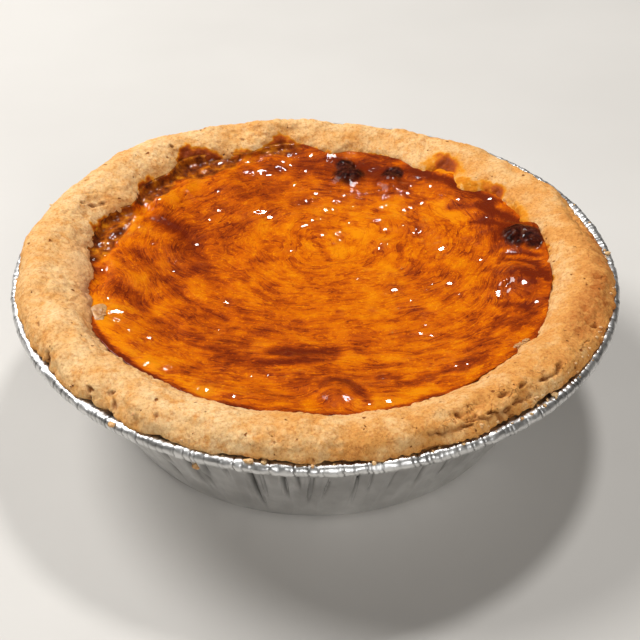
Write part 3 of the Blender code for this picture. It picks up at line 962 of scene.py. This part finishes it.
# Where the wet film on the skin is thin: angle, radius, reach round the pie, reach across it
DRIER = [
    (76, 35.2, 3.4, 2.6), (67, 37.6, 4, 2.8), (154.5, 37, 2.6, 6), (14, 41.6, 3.6, 2), (269.5, 45, 2, 2),
    (172, 38, 5, 5),
]

# Blisters that stand up from the skin: angle, radius, height, reach
WARTS = [
    (81, 37.6, 0.7, 2.4), (77, 40.8, 0.8, 2.6), (80.6, 44, 0.6, 2.4), (64.5, 41.4, 0.6, 2.6),
    (187, 41.5, -0.6, 6), (151, 41.5, -1.2, 6.5), (157, 35.5, 0.4, 5), (9.5, 47.4, 0.5, 2.6),
    (14, 45.2, 0.8, 3.2),
]

# The skin's torn edge along the moat, (angle, radius)
LIP_LINE = [
    (92, 48.6), (98, 47.2), (104, 47.8), (108, 48.2), (112, 47.2), (116, 45.6), (120, 44.4), (124, 43.8),
    (128, 44.2), (131, 45.8), (134, 47.6), (137, 45.2), (141, 44), (146, 44.8), (149, 45.6), (152, 46.8),
    (156, 44.6), (160, 43.4), (165, 43.2), (170, 44), (176, 45.4), (181, 47.6),
]
MOAT_LEVEL = 30.8 * MM
MOAT_START = (93, 99)  # degrees between which it sets in
MOAT_END = (177, 183)  # and ends

# Darker and lighter parts: angle, radius, reach round the pie, reach across it, and how much darker
TONES = [
    (263, 28.4, 7, 3.2, 0.18), (245, 23, 7, 3, 0.06), (354, 43, 4.8, 4.6, 0.2), (73, 42, 9.6, 4.8, 0.52),
    (51, 45, 8, 2.4, 0.16), (51, 49.4, 5.4, 1.8, -0.42), (33, 45.4, 9, 3.4, 0.22),
    (13, 44.4, 7, 4.6, 0.3), (345, 46.5, 9, 2.4, 0.16), (24, 42, 6, 3, 0.1), (86, 46, 5, 2.4, 0.16),
    (47, 44, 5, 2, 0.14), (22, 46.4, 6, 2.4, 0.14), (193, 41, 4, 4, 0.1), (154, 29, 4, 6, 0.1),
    (152, 36, 4, 5, 0.14), (171, 27, 5, 5, 0.12), (171, 34, 9, 9, 0.06), (208, 31.5, 14, 8, 0.06),
    (99, 43.5, 8, 4.5, 0.16), (116, 33.6, 9, 7, 0.12), (310, 44.6, 4, 2, 0.14),
    (277, 43.6, 4.4, 2.2, 0.14), (268, 38, 14, 4, 0.08), (336, 44, 8, 3.4, 0.12), (238, 31, 12, 6, 0.06),
    (62, 22, 13, 12, -0.12), (330, 10, 14, 10, -0.08), (292, 33.5, 12, 3, -0.06),
    (149, 44.2, 12, 1.8, -0.1), (204, 43, 6, 3.4, -0.14), (36, 37.5, 6.5, 3.6, -0.14),
    (187, 37, 5, 3, -0.08),
]

# Folds that can be told apart: places along each as (angle, radius), half its width, how dark; the dark is
# darker caramel with painted shade in the fold
FOLDS = [
    ([(183, 45.5), (188, 43), (192, 40.5), (196, 38.5), (199, 38)], 1.9, 0.18),
    ([(155, 41), (155, 37), (156, 32)], 1.6, 0.05),
    ([(155, 37), (156, 32), (161, 27.5), (175, 24), (191, 22)], 2.2, 0.15),
    ([(172, 39.5), (177, 36), (182, 34), (189, 31), (199, 28), (219, 24)], 1.2, 0.12),
    ([(204, 38.5), (210, 36), (217, 35.5)], 1.5, 0.10),
    ([(229, 34.5), (239, 34), (249, 34), (253, 34.5)], 1.6, 0.10),
    ([(254, 28.5), (262, 28), (271, 27), (277, 27.5)], 1.8, 0.28),
    ([(251, 33), (260, 32.5), (268, 31), (276, 30)], 1.0, 0.20),
    ([(172, 23.5), (174, 18), (197, 14), (219, 13)], 0.8, 0.12),
    ([(2, 39), (6, 41), (6, 44.5), (3, 47.5)], 0.7, 0.24),
    ([(3, 41), (2, 44.5), (358, 47), (352, 48.5)], 0.8, 0.24),
    ([(354, 44), (354, 47)], 0.7, 0.14),
    ([(341, 39.5), (340, 44), (338, 48)], 0.8, 0.13),
    ([(292, 42), (299, 42.5), (305, 43.5), (308, 46)], 1.1, 0.18),
    ([(315, 40.5), (324, 41.5), (333, 41.5)], 1.1, 0.14),
    ([(272, 39.5), (276, 38), (280, 40), (281, 43.5), (282, 46)], 1.1, 0.22),
    ([(104, 18), (88, 13.5), (69, 8)], 1.0, 0.12),
    ([(32, 21.5), (21, 20.5), (12, 18)], 1.0, 0.14),
    ([(15, 29), (4, 27)], 0.8, 0.14),
    ([(38, 39.5), (32, 44), (25, 46), (19, 47.5)], 1.1, 0.20),
    ([(28, 39.5), (22, 43), (18, 45)], 0.7, 0.18),
    ([(63, 46.5), (54, 46.5), (47, 46), (39, 46.5), (31, 47)], 1.4, 0.22),
]

# Bright bands just inside the crust, where the skin turned down: angle, reach in degrees, how much lighter
EDGE_BANDS = [(222, 34, 0.22), (288, 12, 0.14), (312, 8, 0.1)]

# Ripples big enough to catch the light one by one: angle, radius and size
RIPPLES = [
    (204, 43.5, 2.3), (197.5, 44.5, 1.1), (206.5, 45, 0.9), (221, 46, 1.8), (230, 47, 1.3),
    (232.5, 45.5, 1.3), (240.5, 45, 0.8), (242, 46.5, 1.2), (244.5, 46.5, 2.2), (251, 46.5, 1.9),
    (242.5, 38.5, 0.8), (251.5, 38, 0.8), (256, 37, 0.8), (179.5, 30.5, 1), (208, 21, 0.9),
    (133.5, 32.5, 1.3), (140, 31.5, 0.9), (127, 38, 1), (106, 41, 2.2), (93.5, 41.5, 1.3),
    (91.5, 47, 1.1), (89.5, 31.5, 1.5), (85, 16.5, 1.1), (99, 20, 0.9), (73.5, 29, 1.5), (85, 26, 1.6),
    (74, 18, 1.1), (72.5, 14, 1.2), (51, 32.5, 1.6), (48, 36.5, 1.2), (50.5, 42.5, 1.3),
    (38.5, 41.5, 1.1), (33, 47.5, 1.2), (38, 30.5, 1.5), (36, 28, 1.5), (31.5, 30, 1.2), (49, 24, 1.3),
    (37, 18, 1.8), (18.5, 29, 2), (9, 19, 0.9), (344, 17.5, 1.7), (335, 22, 1.1), (314.5, 17, 0.9),
    (351.5, 28.5, 1.3), (356, 39.5, 1.2), (354.5, 41.5, 1.1), (350, 40, 1.1), (346, 39, 2.2),
    (2, 47.5, 1), (342.5, 47, 1.3), (309.5, 44.5, 1.6), (304, 39, 0.8), (289, 39, 1.1), (286.5, 47, 1.5),
    (282, 47, 1.5), (274, 46.5, 1.1), (55, 48.6, 0.9), (51.6, 48.8, 1.1), (52.8, 48.2, 0.7),
]

# Clusters of small ripples: angle, radius, how many, how widely strewn
RIPPLE_CLUSTERS = [
    (118.5, 27, 5, 1), (101.5, 42.5, 6, 1), (90, 28, 8, 1.3), (88.5, 23, 3, 0.7), (84, 29.5, 6, 1.1),
    (53.5, 39.5, 6, 1.2), (61.5, 33.5, 3, 1.5), (47.5, 33.5, 3, 1), (71, 45, 3, 1.2), (145, 47, 7, 1.6),
    (129, 48, 5, 2), (110, 47, 4, 1.5), (159, 45, 4, 1.2), (172, 47, 4, 1.2), (19, 37, 3, 1.2),
    (11, 48, 6, 1), (349, 41.5, 4, 0.8), (66, 25, 16, 9), (15.5, 25.5, 14, 8), (329.5, 23.5, 9, 7),
    (226, 32, 8, 8), (164.5, 31, 6, 6), (310.5, 41.5, 6, 5), (167, 46, 8, 1.8), (142, 47, 8, 1.8),
    (122, 48, 10, 2.4), (100, 47, 5, 2), (95, 35, 8, 3), (78, 32, 8, 3), (62, 36, 6, 2.5),
    (50, 28, 6, 2.5), (228, 46.5, 7, 2.4), (206, 44.5, 5, 1.6),
]
SMALL_RIPPLES = (0.65, 1.1)  # sizes in mm that those of the clusters are drawn between
RIPPLE_LEAN = 1.1  # how far a ripple leans, as a share of the slope that mirrors the back light


def disc_from_grid(points):
    """Carries a square grid onto a disc of radius 1: squares round the middle become circles."""
    across, deep = points[:, 0] / SKIN_HALF, points[:, 1] / SKIN_HALF
    wide = np.abs(across) >= np.abs(deep)
    ring = np.where(wide, np.abs(across), np.abs(deep))
    safe_across = np.where(np.abs(across) < 1e-9, 1e-9, across)
    safe_deep = np.where(np.abs(deep) < 1e-9, 1e-9, deep)
    angle = np.where(wide, np.pi / 4 * deep / safe_across, np.pi / 2 - np.pi / 4 * across / safe_deep)
    angle = np.where(np.where(wide, across, deep) < 0, angle + np.pi, angle)
    return angle, ring


def lay_skin(name):
    """A fine disc laid on the solid's top, with its edge tucked into the crust."""
    cells = {"x_subdivisions": SKIN_CELLS, "y_subdivisions": SKIN_CELLS}
    skin = new_piece(name, bpy.ops.mesh.primitive_grid_add, size=2 * SKIN_HALF, **cells)
    points = points_of(skin)
    angle, ring = disc_from_grid(points)
    edge = filling_edge(np.degrees(angle) % 360) - 0.3 * MM
    points[:, 0] = edge * ring * np.cos(angle)
    points[:, 1] = edge * ring * np.sin(angle)
    tree = tree_of(frame["nodes"]["filling"])
    for point in points:
        point[2] = tree.ray_cast(Vector((point[0], point[1], OVERHEAD)), DOWN)[0].z
    move_points(skin, points)
    even_out(skin, np.where(ring < 0.995, 1.0, 0.0), SKIN_EVENING, flat=True)
    points = points_of(skin)
    _, radius = polar(points)
    push_out(points, radius, (SKIN_TUCK + 0.3 * MM) * smooth_step(0.93, 1.0, ring))
    move_points(skin, points)
    return skin


def close_below(skin):
    """Extrudes the skin's border down the crust's well and closes it, so that the filling is solid."""
    select_only(skin)
    bpy.ops.object.mode_set(mode="EDIT")
    bpy.ops.mesh.select_all(action="SELECT")
    bpy.ops.mesh.region_to_loop()
    bpy.ops.mesh.extrude_region_move()
    bpy.ops.object.mode_set(mode="OBJECT")
    well = [(48.4 * MM, 29.2 * MM), (46.2 * MM, 16 * MM), (41 * MM, 5.6 * MM), (38.5 * MM, 4.3 * MM)]
    for level, (radius, height) in enumerate(well):
        ring = np.array([v.select for v in skin.data.vertices])
        points = points_of(skin)
        degrees, _ = polar(points)
        shift = filling_edge(degrees) - 48.9 * MM if level < 2 else 0 * degrees
        target = radius + shift
        points[ring, 0] = (target * np.cos(np.radians(degrees)))[ring]
        points[ring, 1] = (target * np.sin(np.radians(degrees)))[ring]
        points[ring, 2] = height
        move_points(skin, points)
        bpy.ops.object.mode_set(mode="EDIT")
        if level < len(well) - 1:
            bpy.ops.mesh.extrude_region_move()
        else:
            bpy.ops.mesh.edge_face_add()
        bpy.ops.object.mode_set(mode="OBJECT")


def flow_of(flat):
    """Where points lie along and across the wrinkles, which run round the bowl and wrap its swellings."""
    off_centre = (flat[:, :2] - WRINKLE_MIDDLE) * (WRINKLE_SQUEEZE, 1)
    level = np.sqrt((off_centre**2).sum(1) + (9 * MM) ** 2)
    for angle, middle, reach, pull in WRINKLE_CENTRES:
        away = away_from(flat, angle, middle)
        level = level + pull * MM * np.exp(-((away / (reach * MM)) ** 2))
    level = level + 3.0 * MM * swells(flat, 15 * MM, 31) + 0.7 * MM * swells(flat, 5 * MM, 32)
    return np.column_stack([flat[:, :2] / WRINKLE_LENGTH, level / WRINKLE_SPACING])


def mirror_slope(place):
    """The slope along each axis at which the wet skin mirrors the back light into the camera."""
    to_camera = (Vector(CAMERA_PLACE) - place).normalized()
    to_light = (Vector(LIGHTS["back"][0]) - place).normalized()
    half = to_camera + to_light
    return np.array((-half.x / half.z, -half.y / half.z))


def ripples(points, normals):
    """Ripples that each lean to catch the light: their height, and where they are, from 0 to 1."""
    chance = random.Random(23)
    places = [(at(angle, middle * MM), size * MM) for angle, middle, size in RIPPLES]
    for angle, middle, count, spread in RIPPLE_CLUSTERS:
        for _ in range(count):
            strewn = Vector((chance.gauss(0, spread), chance.gauss(0, spread), 0)) * MM
            places.append((at(angle, middle * MM) + strewn, chance.uniform(*SMALL_RIPPLES) * MM))
    wobble = np.column_stack([swells(points, 0.8 * MM, seed) for seed in (48, 49)])
    bent = points[:, :2] + 0.16 * MM * wobble
    rise = np.zeros(len(points))
    where = np.zeros(len(points))
    for place, size in places:
        away = bent - np.array(place)[:2]
        distance = (away**2).sum(1)
        nearest = distance.argmin()
        slope = -normals[nearest, :2] / normals[nearest, 2]
        lean = RIPPLE_LEAN * mirror_slope(Vector(points[nearest])) - slope
        dome = np.exp(-distance / size**2)
        rise += away @ lean * dome
        where = np.maximum(where, np.exp(-0.5 * distance / size**2))
    return rise, where


def folded(flat):
    """How deep the skin lies in the folds that can be told apart, in mm, and how much darker they are
    painted: darker caramel with painted shade in the fold and a lighter shoulder.
    """
    deep = np.zeros(len(flat))
    dark = np.zeros(len(flat))
    wander = 0.5 * MM * layered(flat, 3.2 * MM, 3, 46)
    for places, half_width, darkness in FOLDS:
        away = (line_distance(flat, places) + wander) / (half_width * MM)
        line = np.exp(-(away**2))
        shoulder = np.exp(-((away - 2.0) ** 2))
        deep += half_width * darkness * (0.50 * line - 0.28 * shoulder)
        dark += darkness * (line - 0.25 * shoulder)
    return deep, dark


def shape_skin(skin, settings):
    """Folds, wrinkles, ripples, burnt blisters and the moat, and the marks that the finish reads."""
    points = points_of(skin)
    degrees, radius = polar(points)
    flat = points * (1, 1, 0)
    flow = flow_of(flat)
    folds = swells(flow * (1, 1, 0.3), 1.0, 33)
    wrinkles = swells(flow, 1.0, 34)
    outline = filling_edge(degrees)
    shown = 1 - smooth_step(-0.6 * MM, 0.6 * MM, radius - outline)
    strength = np.clip(0.6 + 0.8 * swells(flat, 12 * MM, 35), 0.1, 1.3)
    relief = settings.folds * folds + settings.wrinkles * (0.4 - 1.7 * np.abs(wrinkles)) * strength
    deep, dark = folded(flat)
    relief -= deep * MM
    rise, rippled = ripples(points, points_of(skin, "normal"))
    ragged = radius + 0.7 * MM * swells(flat, 2.2 * MM, 37)
    blistered = spots(degrees, ragged, BURNT)
    burnt = smooth_step(0.3, 0.62, blistered)
    for angle, middle, height, reach in WARTS:
        away = away_from(flat, angle, middle) / (reach * MM)
        relief += height * MM * np.clip(1 - away**2, 0, 1) ** 1.2
    crags = 0.6 * layered(flat, 1.9 * MM, 2, 38) + 0.3 * (0.5 - cobbles(flat, 2.2 * MM, 43)[:, 0])
    relief += burnt * settings.crags * crags
    lip = np.interp(degrees, *zip(*LIP_LINE)) * MM + 0.6 * MM * layered(flat, 2.4 * MM, 2, 39)
    in_moat = smooth_step(*MOAT_START, degrees) * (1 - smooth_step(*MOAT_END, degrees))
    moat = in_moat * smooth_step(-0.2 * MM, 0.9 * MM, radius - lip)
    lumps = 0.5 - cobbles(flat, 1.5 * MM, 47)[:, 0]
    level = MOAT_LEVEL + 0.4 * MM * layered(flat, 2.6 * MM, 3, 40) + 0.5 * MM * lumps
    relief = (relief * (1 - 0.8 * rippled) + rise) * (1 - moat) + moat * (level + 0.6 * rise - points[:, 2])
    lip_edge = np.exp(-(((radius - lip + 0.8 * MM) / (0.9 * MM)) ** 2))
    relief += in_moat * 0.06 * MM * lip_edge
    points[:, 2] += relief * shown
    move_points(skin, points)
    # the folds that can be told apart add darker caramel with painted shade in them
    caramel = 0.06 * swells(flat, 8 * MM, 41) - 0.06 * folds + dark + sum_of_spots(degrees, ragged, TONES)
    caramel -= 0.08 * in_moat * lip_edge
    inward = outline - radius + 0.5 * MM * swells(flat, 2.5 * MM, 44)
    band = np.exp(-(((inward - 1.9 * MM) / (1.7 * MM)) ** 2))
    for angle, wide, lighter in EDGE_BANDS:
        caramel -= lighter * band * np.exp(-((turn_between(degrees, angle) / wide) ** 4))
    # painted shade: the skin darkened where it meets the crust, most at the front left
    shade_at_crust = 0.1 + 0.25 * toward(degrees, 225, 35) + 0.2 * swells(flat, 6 * MM, 45)
    caramel += shade_at_crust * (1 - smooth_step(0.1 * MM, 0.9 * MM, inward))
    drier = smooth_step(0.1, 0.6, spots(degrees, ragged, DRIER))
    dry = np.maximum(smooth_step(0.02, 0.3, blistered), drier)
    keep_on_points(skin, caramel=caramel, burnt=burnt, dry=dry, moat=moat, ripple=rippled, flow=flow)


class PIE_OT_filling(bpy.types.Operator):
    """Makes the filling: a fine disc laid on its solid, wrinkled and closed below"""

    bl_idname = "pie.filling"
    bl_label = "Filling"

    def execute(self, context):
        settings = context.scene.pie.filling
        skin = lay_skin("filling_caramelised")
        shape_skin(skin, settings)
        close_below(skin)
        finish_piece(skin, filling_finish(settings), "filling")
        return {"FINISHED"}


# Crumbs

# Crumbs that lie where the photograph shows them, on the rolled edge or in the gap: angle, radius, size
PLACED_CRUMBS = [
    (235, 63.2, 1.2), (259.5, 62.4, 1.6), (261.8, 62.2, 1.2), (269.6, 62.6, 0.9), (279.3, 62.6, 1.2),
    (315, 61.9, 1.6), (2, 62.3, 1),
]
WALL_CRUMB = (245.5, 19, 2)  # stuck to the wall: angle, height, size
CRUMB_PALENESS = 0.4
CRUMB_STRETCH = ((0.7, 1.3), (0.7, 1.2), (0.4, 0.7))  # along each axis

# What is drawn for the crumbs strewn round the edge, about half of them at the front right
ALL_ROUND = (0, 360)
FRONT_RIGHT = (286, 336)
STREWN_RADII = (61.0, 62.6)
STREWN_SIZES = (0.3, 0.8)

# Pale dough at the filling's edge, in flakes that lie along it: angle, radius, length, width, thickness
DOUGH_FLAKES = [
    (203, 46.9, 4.6, 2.5, 0.7), (323.8, 49, 2.6, 1.3, 0.8), (326.2, 49.2, 1.6, 0.9, 0.6),
]


def model_crumb(name, fineness, rough, seed):
    """One crumb of a millimetre across: a ball, pushed in and out."""
    crumb = new_piece(name, bpy.ops.mesh.primitive_ico_sphere_add, subdivisions=fineness, radius=0.5 * MM)
    points = points_of(crumb)
    move_points(crumb, points * (1 + rough * layered(points, 0.6 * MM, 2, seed))[:, None])
    return crumb


def tumbled(size, chance):
    """What turns a crumb at random and stretches it to about this size in mm."""
    axis = Vector((chance.random(), chance.random(), 1))
    turn = Matrix.Rotation(chance.uniform(0, math.tau), 3, axis)
    stretch = [chance.uniform(*limits) for limits in CRUMB_STRETCH]
    return Matrix.Diagonal(stretch) @ turn * size


def along_edge(angle, length, width, thickness):
    """What stretches a crumb into a flake that lies along the filling's edge."""
    turn = Matrix.Rotation(math.radians(angle + 90), 3, "Z")
    return turn @ Matrix.Diagonal((length, width, thickness))


def strew(crumb, placed):
    """Copies the crumb to each place, given with what turns and stretches it, and joins the copies."""
    copies = []
    for place, change in placed:
        copy = crumb.copy()
        copy.data = crumb.data.copy()
        bpy.context.collection.objects.link(copy)
        move_points(copy, points_of(copy) @ np.array(change).T + np.array(place))
        copies.append(copy)
    name = crumb.name
    bpy.data.objects.remove(crumb)
    select_only(*copies)
    bpy.ops.object.join()
    joined = bpy.context.object
    joined.name = joined.data.name = name
    return joined


def resting(trees, angle, radius, lift):
    """The place on the highest of the pieces below, raised by the lift: radius and lift in mm."""
    hits = [tree.ray_cast(at(angle, radius * MM, OVERHEAD), DOWN)[0] for tree in trees]
    return at(angle, radius * MM, max(hit.z for hit in hits if hit) + lift * MM)


class PIE_OT_crumbs(bpy.types.Operator):
    """Strews the crumbs that fell on the tin, and the pale dough at the filling's edge"""

    bl_idname = "pie.crumbs"
    bl_label = "Crumbs"

    def execute(self, context):
        settings = context.scene.pie.crumbs
        pieces = bpy.data.objects
        tin, crust, filling = [
            tree_of(pieces[name]) for name in ("foil_tin_crinkled", "crust_baked", "filling_caramelised")
        ]
        chance = random.Random(5)
        strewn = list(PLACED_CRUMBS)
        for _ in range(settings.count):
            angle = chance.choice((chance.uniform(*ALL_ROUND), chance.uniform(*FRONT_RIGHT)))
            strewn.append((angle, chance.uniform(*STREWN_RADII), chance.uniform(*STREWN_SIZES)))
        placed = [
            (resting((tin, crust), angle, radius, 0.12 * size), tumbled(size, chance))
            for angle, radius, size in strewn
        ]
        angle, height, size = WALL_CRUMB
        stuck = at(angle, wall_radius(height * MM) + 0.2 * size * MM, height * MM)
        placed.append((stuck, tumbled(size, chance)))
        crumbs = strew(model_crumb("crumbs_baked", 2, 0.6, 51), placed)
        keep_on_points(crumbs, pale=np.full(len(crumbs.data.vertices), CRUMB_PALENESS))
        finish_piece(crumbs, bpy.data.materials["baked_shortcrust"], None)
        placed = [
            (resting((crust, filling), angle, radius, 0.1), along_edge(angle, *size))
            for angle, radius, *size in DOUGH_FLAKES
        ]
        flakes = strew(model_crumb("dough_flakes", 4, 0.75, 52), placed)
        finish_piece(flakes, raw_dough_finish(), None)
        return {"FINISHED"}


# Stage


CAMERA_PLACE = (0, -209.8 * MM, 176.9 * MM)
CAMERA_AIM = (0.87 * MM, -18.26 * MM, 30 * MM)
CAMERA_ROLL = 0.343  # degrees
CAMERA_LENS = 67.5  # mm
CAMERA_SENSOR = 36  # mm
CAMERA_NEAR = 0.01
FLOOR_SIZE = 3.0
LIT_PLACE = (0, 0, 0.03)
ROOM_COLOUR = "#FFF6EA"

# Place and size of each light. None stands where the lie of most of the skin mirrors it into the camera
LIGHTS = {
    "key": ((-0.46, 0.26, 0.60), 0.40),
    "fill": ((0.22, -0.74, 0.50), 0.40),
    "back": ((0.12, 0.26, 0.74), 0.12),
}


def in_scene(name, data, place, turn):
    """Puts a light or the camera in the scene."""
    thing = bpy.data.objects.new(name, data)
    bpy.context.scene.collection.objects.link(thing)
    thing.location = place
    thing.rotation_euler = turn.to_euler()
    return thing


def looking(place, target):
    """The turn of a light or camera that looks from one place to another."""
    return (Vector(target) - Vector(place)).to_track_quat("-Z", "Y").to_matrix()


def add_camera():
    data = bpy.data.cameras.new("camera")
    data.lens = CAMERA_LENS
    data.sensor_width = CAMERA_SENSOR
    data.clip_start = CAMERA_NEAR
    turn = looking(CAMERA_PLACE, CAMERA_AIM) @ Matrix.Rotation(math.radians(CAMERA_ROLL), 3, "Z")
    bpy.context.scene.camera = in_scene("camera", data, CAMERA_PLACE, turn)


def add_light(name, place, size, power):
    data = bpy.data.lights.new(name, "AREA")
    data.shape = "DISK"
    data.size = size
    data.energy = power
    in_scene(name, data, place, looking(place, LIT_PLACE))


class PIE_OT_stage(bpy.types.Operator):
    """Sets a pale floor, soft studio lights and the camera"""

    bl_idname = "pie.stage"
    bl_label = "Stage"

    def execute(self, context):
        settings = context.scene.pie.stage
        floor = new_piece("floor", bpy.ops.mesh.primitive_plane_add, size=FLOOR_SIZE, location=(0, 0, 0))
        floor.data.materials.append(floor_finish(settings))
        for name, (place, size) in LIGHTS.items():
            add_light(name, place, size, getattr(settings, name + "_power"))
        room = bpy.data.worlds.new("studio")
        room.use_nodes = True
        light = room.node_tree.nodes["Background"].inputs
        light["Color"].default_value = linear(ROOM_COLOUR)
        light["Strength"].default_value = settings.room_light
        context.scene.world = room
        add_camera()
        context.scene.view_settings.view_transform = "Standard"
        return {"FINISHED"}


# Settings, panel and registration


def colour_setting(name, description, colour):
    """A colour that a user can pick."""
    rows = {"subtype": "COLOR", "size": 4, "min": 0, "max": 1}
    return FloatVectorProperty(name=name, description=description, default=linear(colour), **rows)


def number_setting(name, description, number, **kind):
    """A number that a user can set."""
    return FloatProperty(name=name, description=description, default=number, **kind)


length_setting = partial(number_setting, unit="LENGTH", precision=5)
share_setting = partial(number_setting, subtype="FACTOR")
power_setting = partial(number_setting, unit="POWER")


class TinSettings(bpy.types.PropertyGroup):
    pleat_depth: length_setting("Pleat depth", "How far a pleat of the wall stands out", 0.8 * MM)
    crease_depth: length_setting("Crease depth", "How far a sharp crease of the wall stands out", 0.8 * MM)
    groove_depth: length_setting("Groove depth", "Depth of the grooves across the rolled edge", 0.22 * MM)
    groove_spacing: length_setting("Groove spacing", "Distance between those grooves", 1.2 * MM)
    roughness: share_setting("Roughness", "Lowest roughness of the foil", 0.36)
    bright: colour_setting("Bright foil", "Where it is brightest", "#E6E5E3")
    dull: colour_setting("Dull foil", "Where it is dullest", "#C9C8C6")


class CrustSettings(bpy.types.PropertyGroup):
    relief: share_setting("Relief", "Strength of the crumbly relief", 1.0)
    lip_reach: length_setting("Lip reach", "How far the lip reaches out over the tin's edge", 0.7 * MM)
    lip_drop: length_setting("Lip drop", "How far the lip hangs down to the tin's edge", 0.55 * MM)
    pale: colour_setting("Pale dough", "Where it is palest", "#F2CF9A")
    sandy: colour_setting("Sandy dough", "Most of the crust", "#EABD80")
    golden: colour_setting("Golden dough", "Where it took some colour", "#DE9F55")
    brown: colour_setting("Brown dough", "Where it is darkest", "#B56C2E")


class FillingSettings(bpy.types.PropertyGroup):
    folds: length_setting("Folds", "Height of the wide folds", 0.19 * MM)
    wrinkles: length_setting("Wrinkles", "Height of the fine wrinkles", 0.06 * MM)
    crags: length_setting("Crags", "Roughness of the burnt blisters", 0.7 * MM)
    gloss: share_setting("Gloss", "Weight of the wet film", 0.8)
    bright: colour_setting("Bright skin", "Where it is brightest", "#DE8203")
    orange: colour_setting("Orange skin", "Most of the middle", "#D06A00")
    amber: colour_setting("Amber skin", "Where it is folded", "#BC5402")
    brown: colour_setting("Brown skin", "Where it is browned", "#963A04")


class CrumbSettings(bpy.types.PropertyGroup):
    count: IntProperty(name="Crumbs", description="Number of small crumbs round the tin's edge", default=70)


class StageSettings(bpy.types.PropertyGroup):
    key_power: power_setting("Key light", "Power of the main light", 6.2)
    fill_power: power_setting("Fill light", "Power of the soft front light", 3.0)
    back_power: power_setting("Back light", "Power of the small back light", 2.6)
    room_light: number_setting("Room light", "Strength of the light all round", 0.07)
    floor: colour_setting("Floor", "Where it is brightest", "#CFCBC5")


class PieSettings(bpy.types.PropertyGroup):
    tin: PointerProperty(type=TinSettings)
    crust: PointerProperty(type=CrustSettings)
    filling: PointerProperty(type=FillingSettings)
    crumbs: PointerProperty(type=CrumbSettings)
    stage: PointerProperty(type=StageSettings)


STEPS_IN_ORDER = ("foil_tin", "crust", "filling", "crumbs", "stage")


class PIE_PT_panel(bpy.types.Panel):
    bl_label = "Sweet potato pie"
    bl_space_type = "VIEW_3D"
    bl_region_type = "UI"
    bl_category = "Pie"

    def draw(self, context):
        for name in STEPS_IN_ORDER:
            self.layout.operator("pie." + name)


CLASSES = (
    TinSettings,
    CrustSettings,
    FillingSettings,
    CrumbSettings,
    StageSettings,
    PieSettings,
    PIE_OT_foil_tin,
    PIE_OT_crust,
    PIE_OT_filling,
    PIE_OT_crumbs,
    PIE_OT_stage,
    PIE_PT_panel,
)


def register():
    for kind in CLASSES:
        bpy.utils.register_class(kind)
    bpy.types.Scene.pie = PointerProperty(type=PieSettings)


def unregister():
    del bpy.types.Scene.pie
    for kind in reversed(CLASSES):
        bpy.utils.unregister_class(kind)


def main():
    register()
    for name in STEPS_IN_ORDER:
        getattr(bpy.ops.pie, name)()


if __name__ == "__main__":
    main()
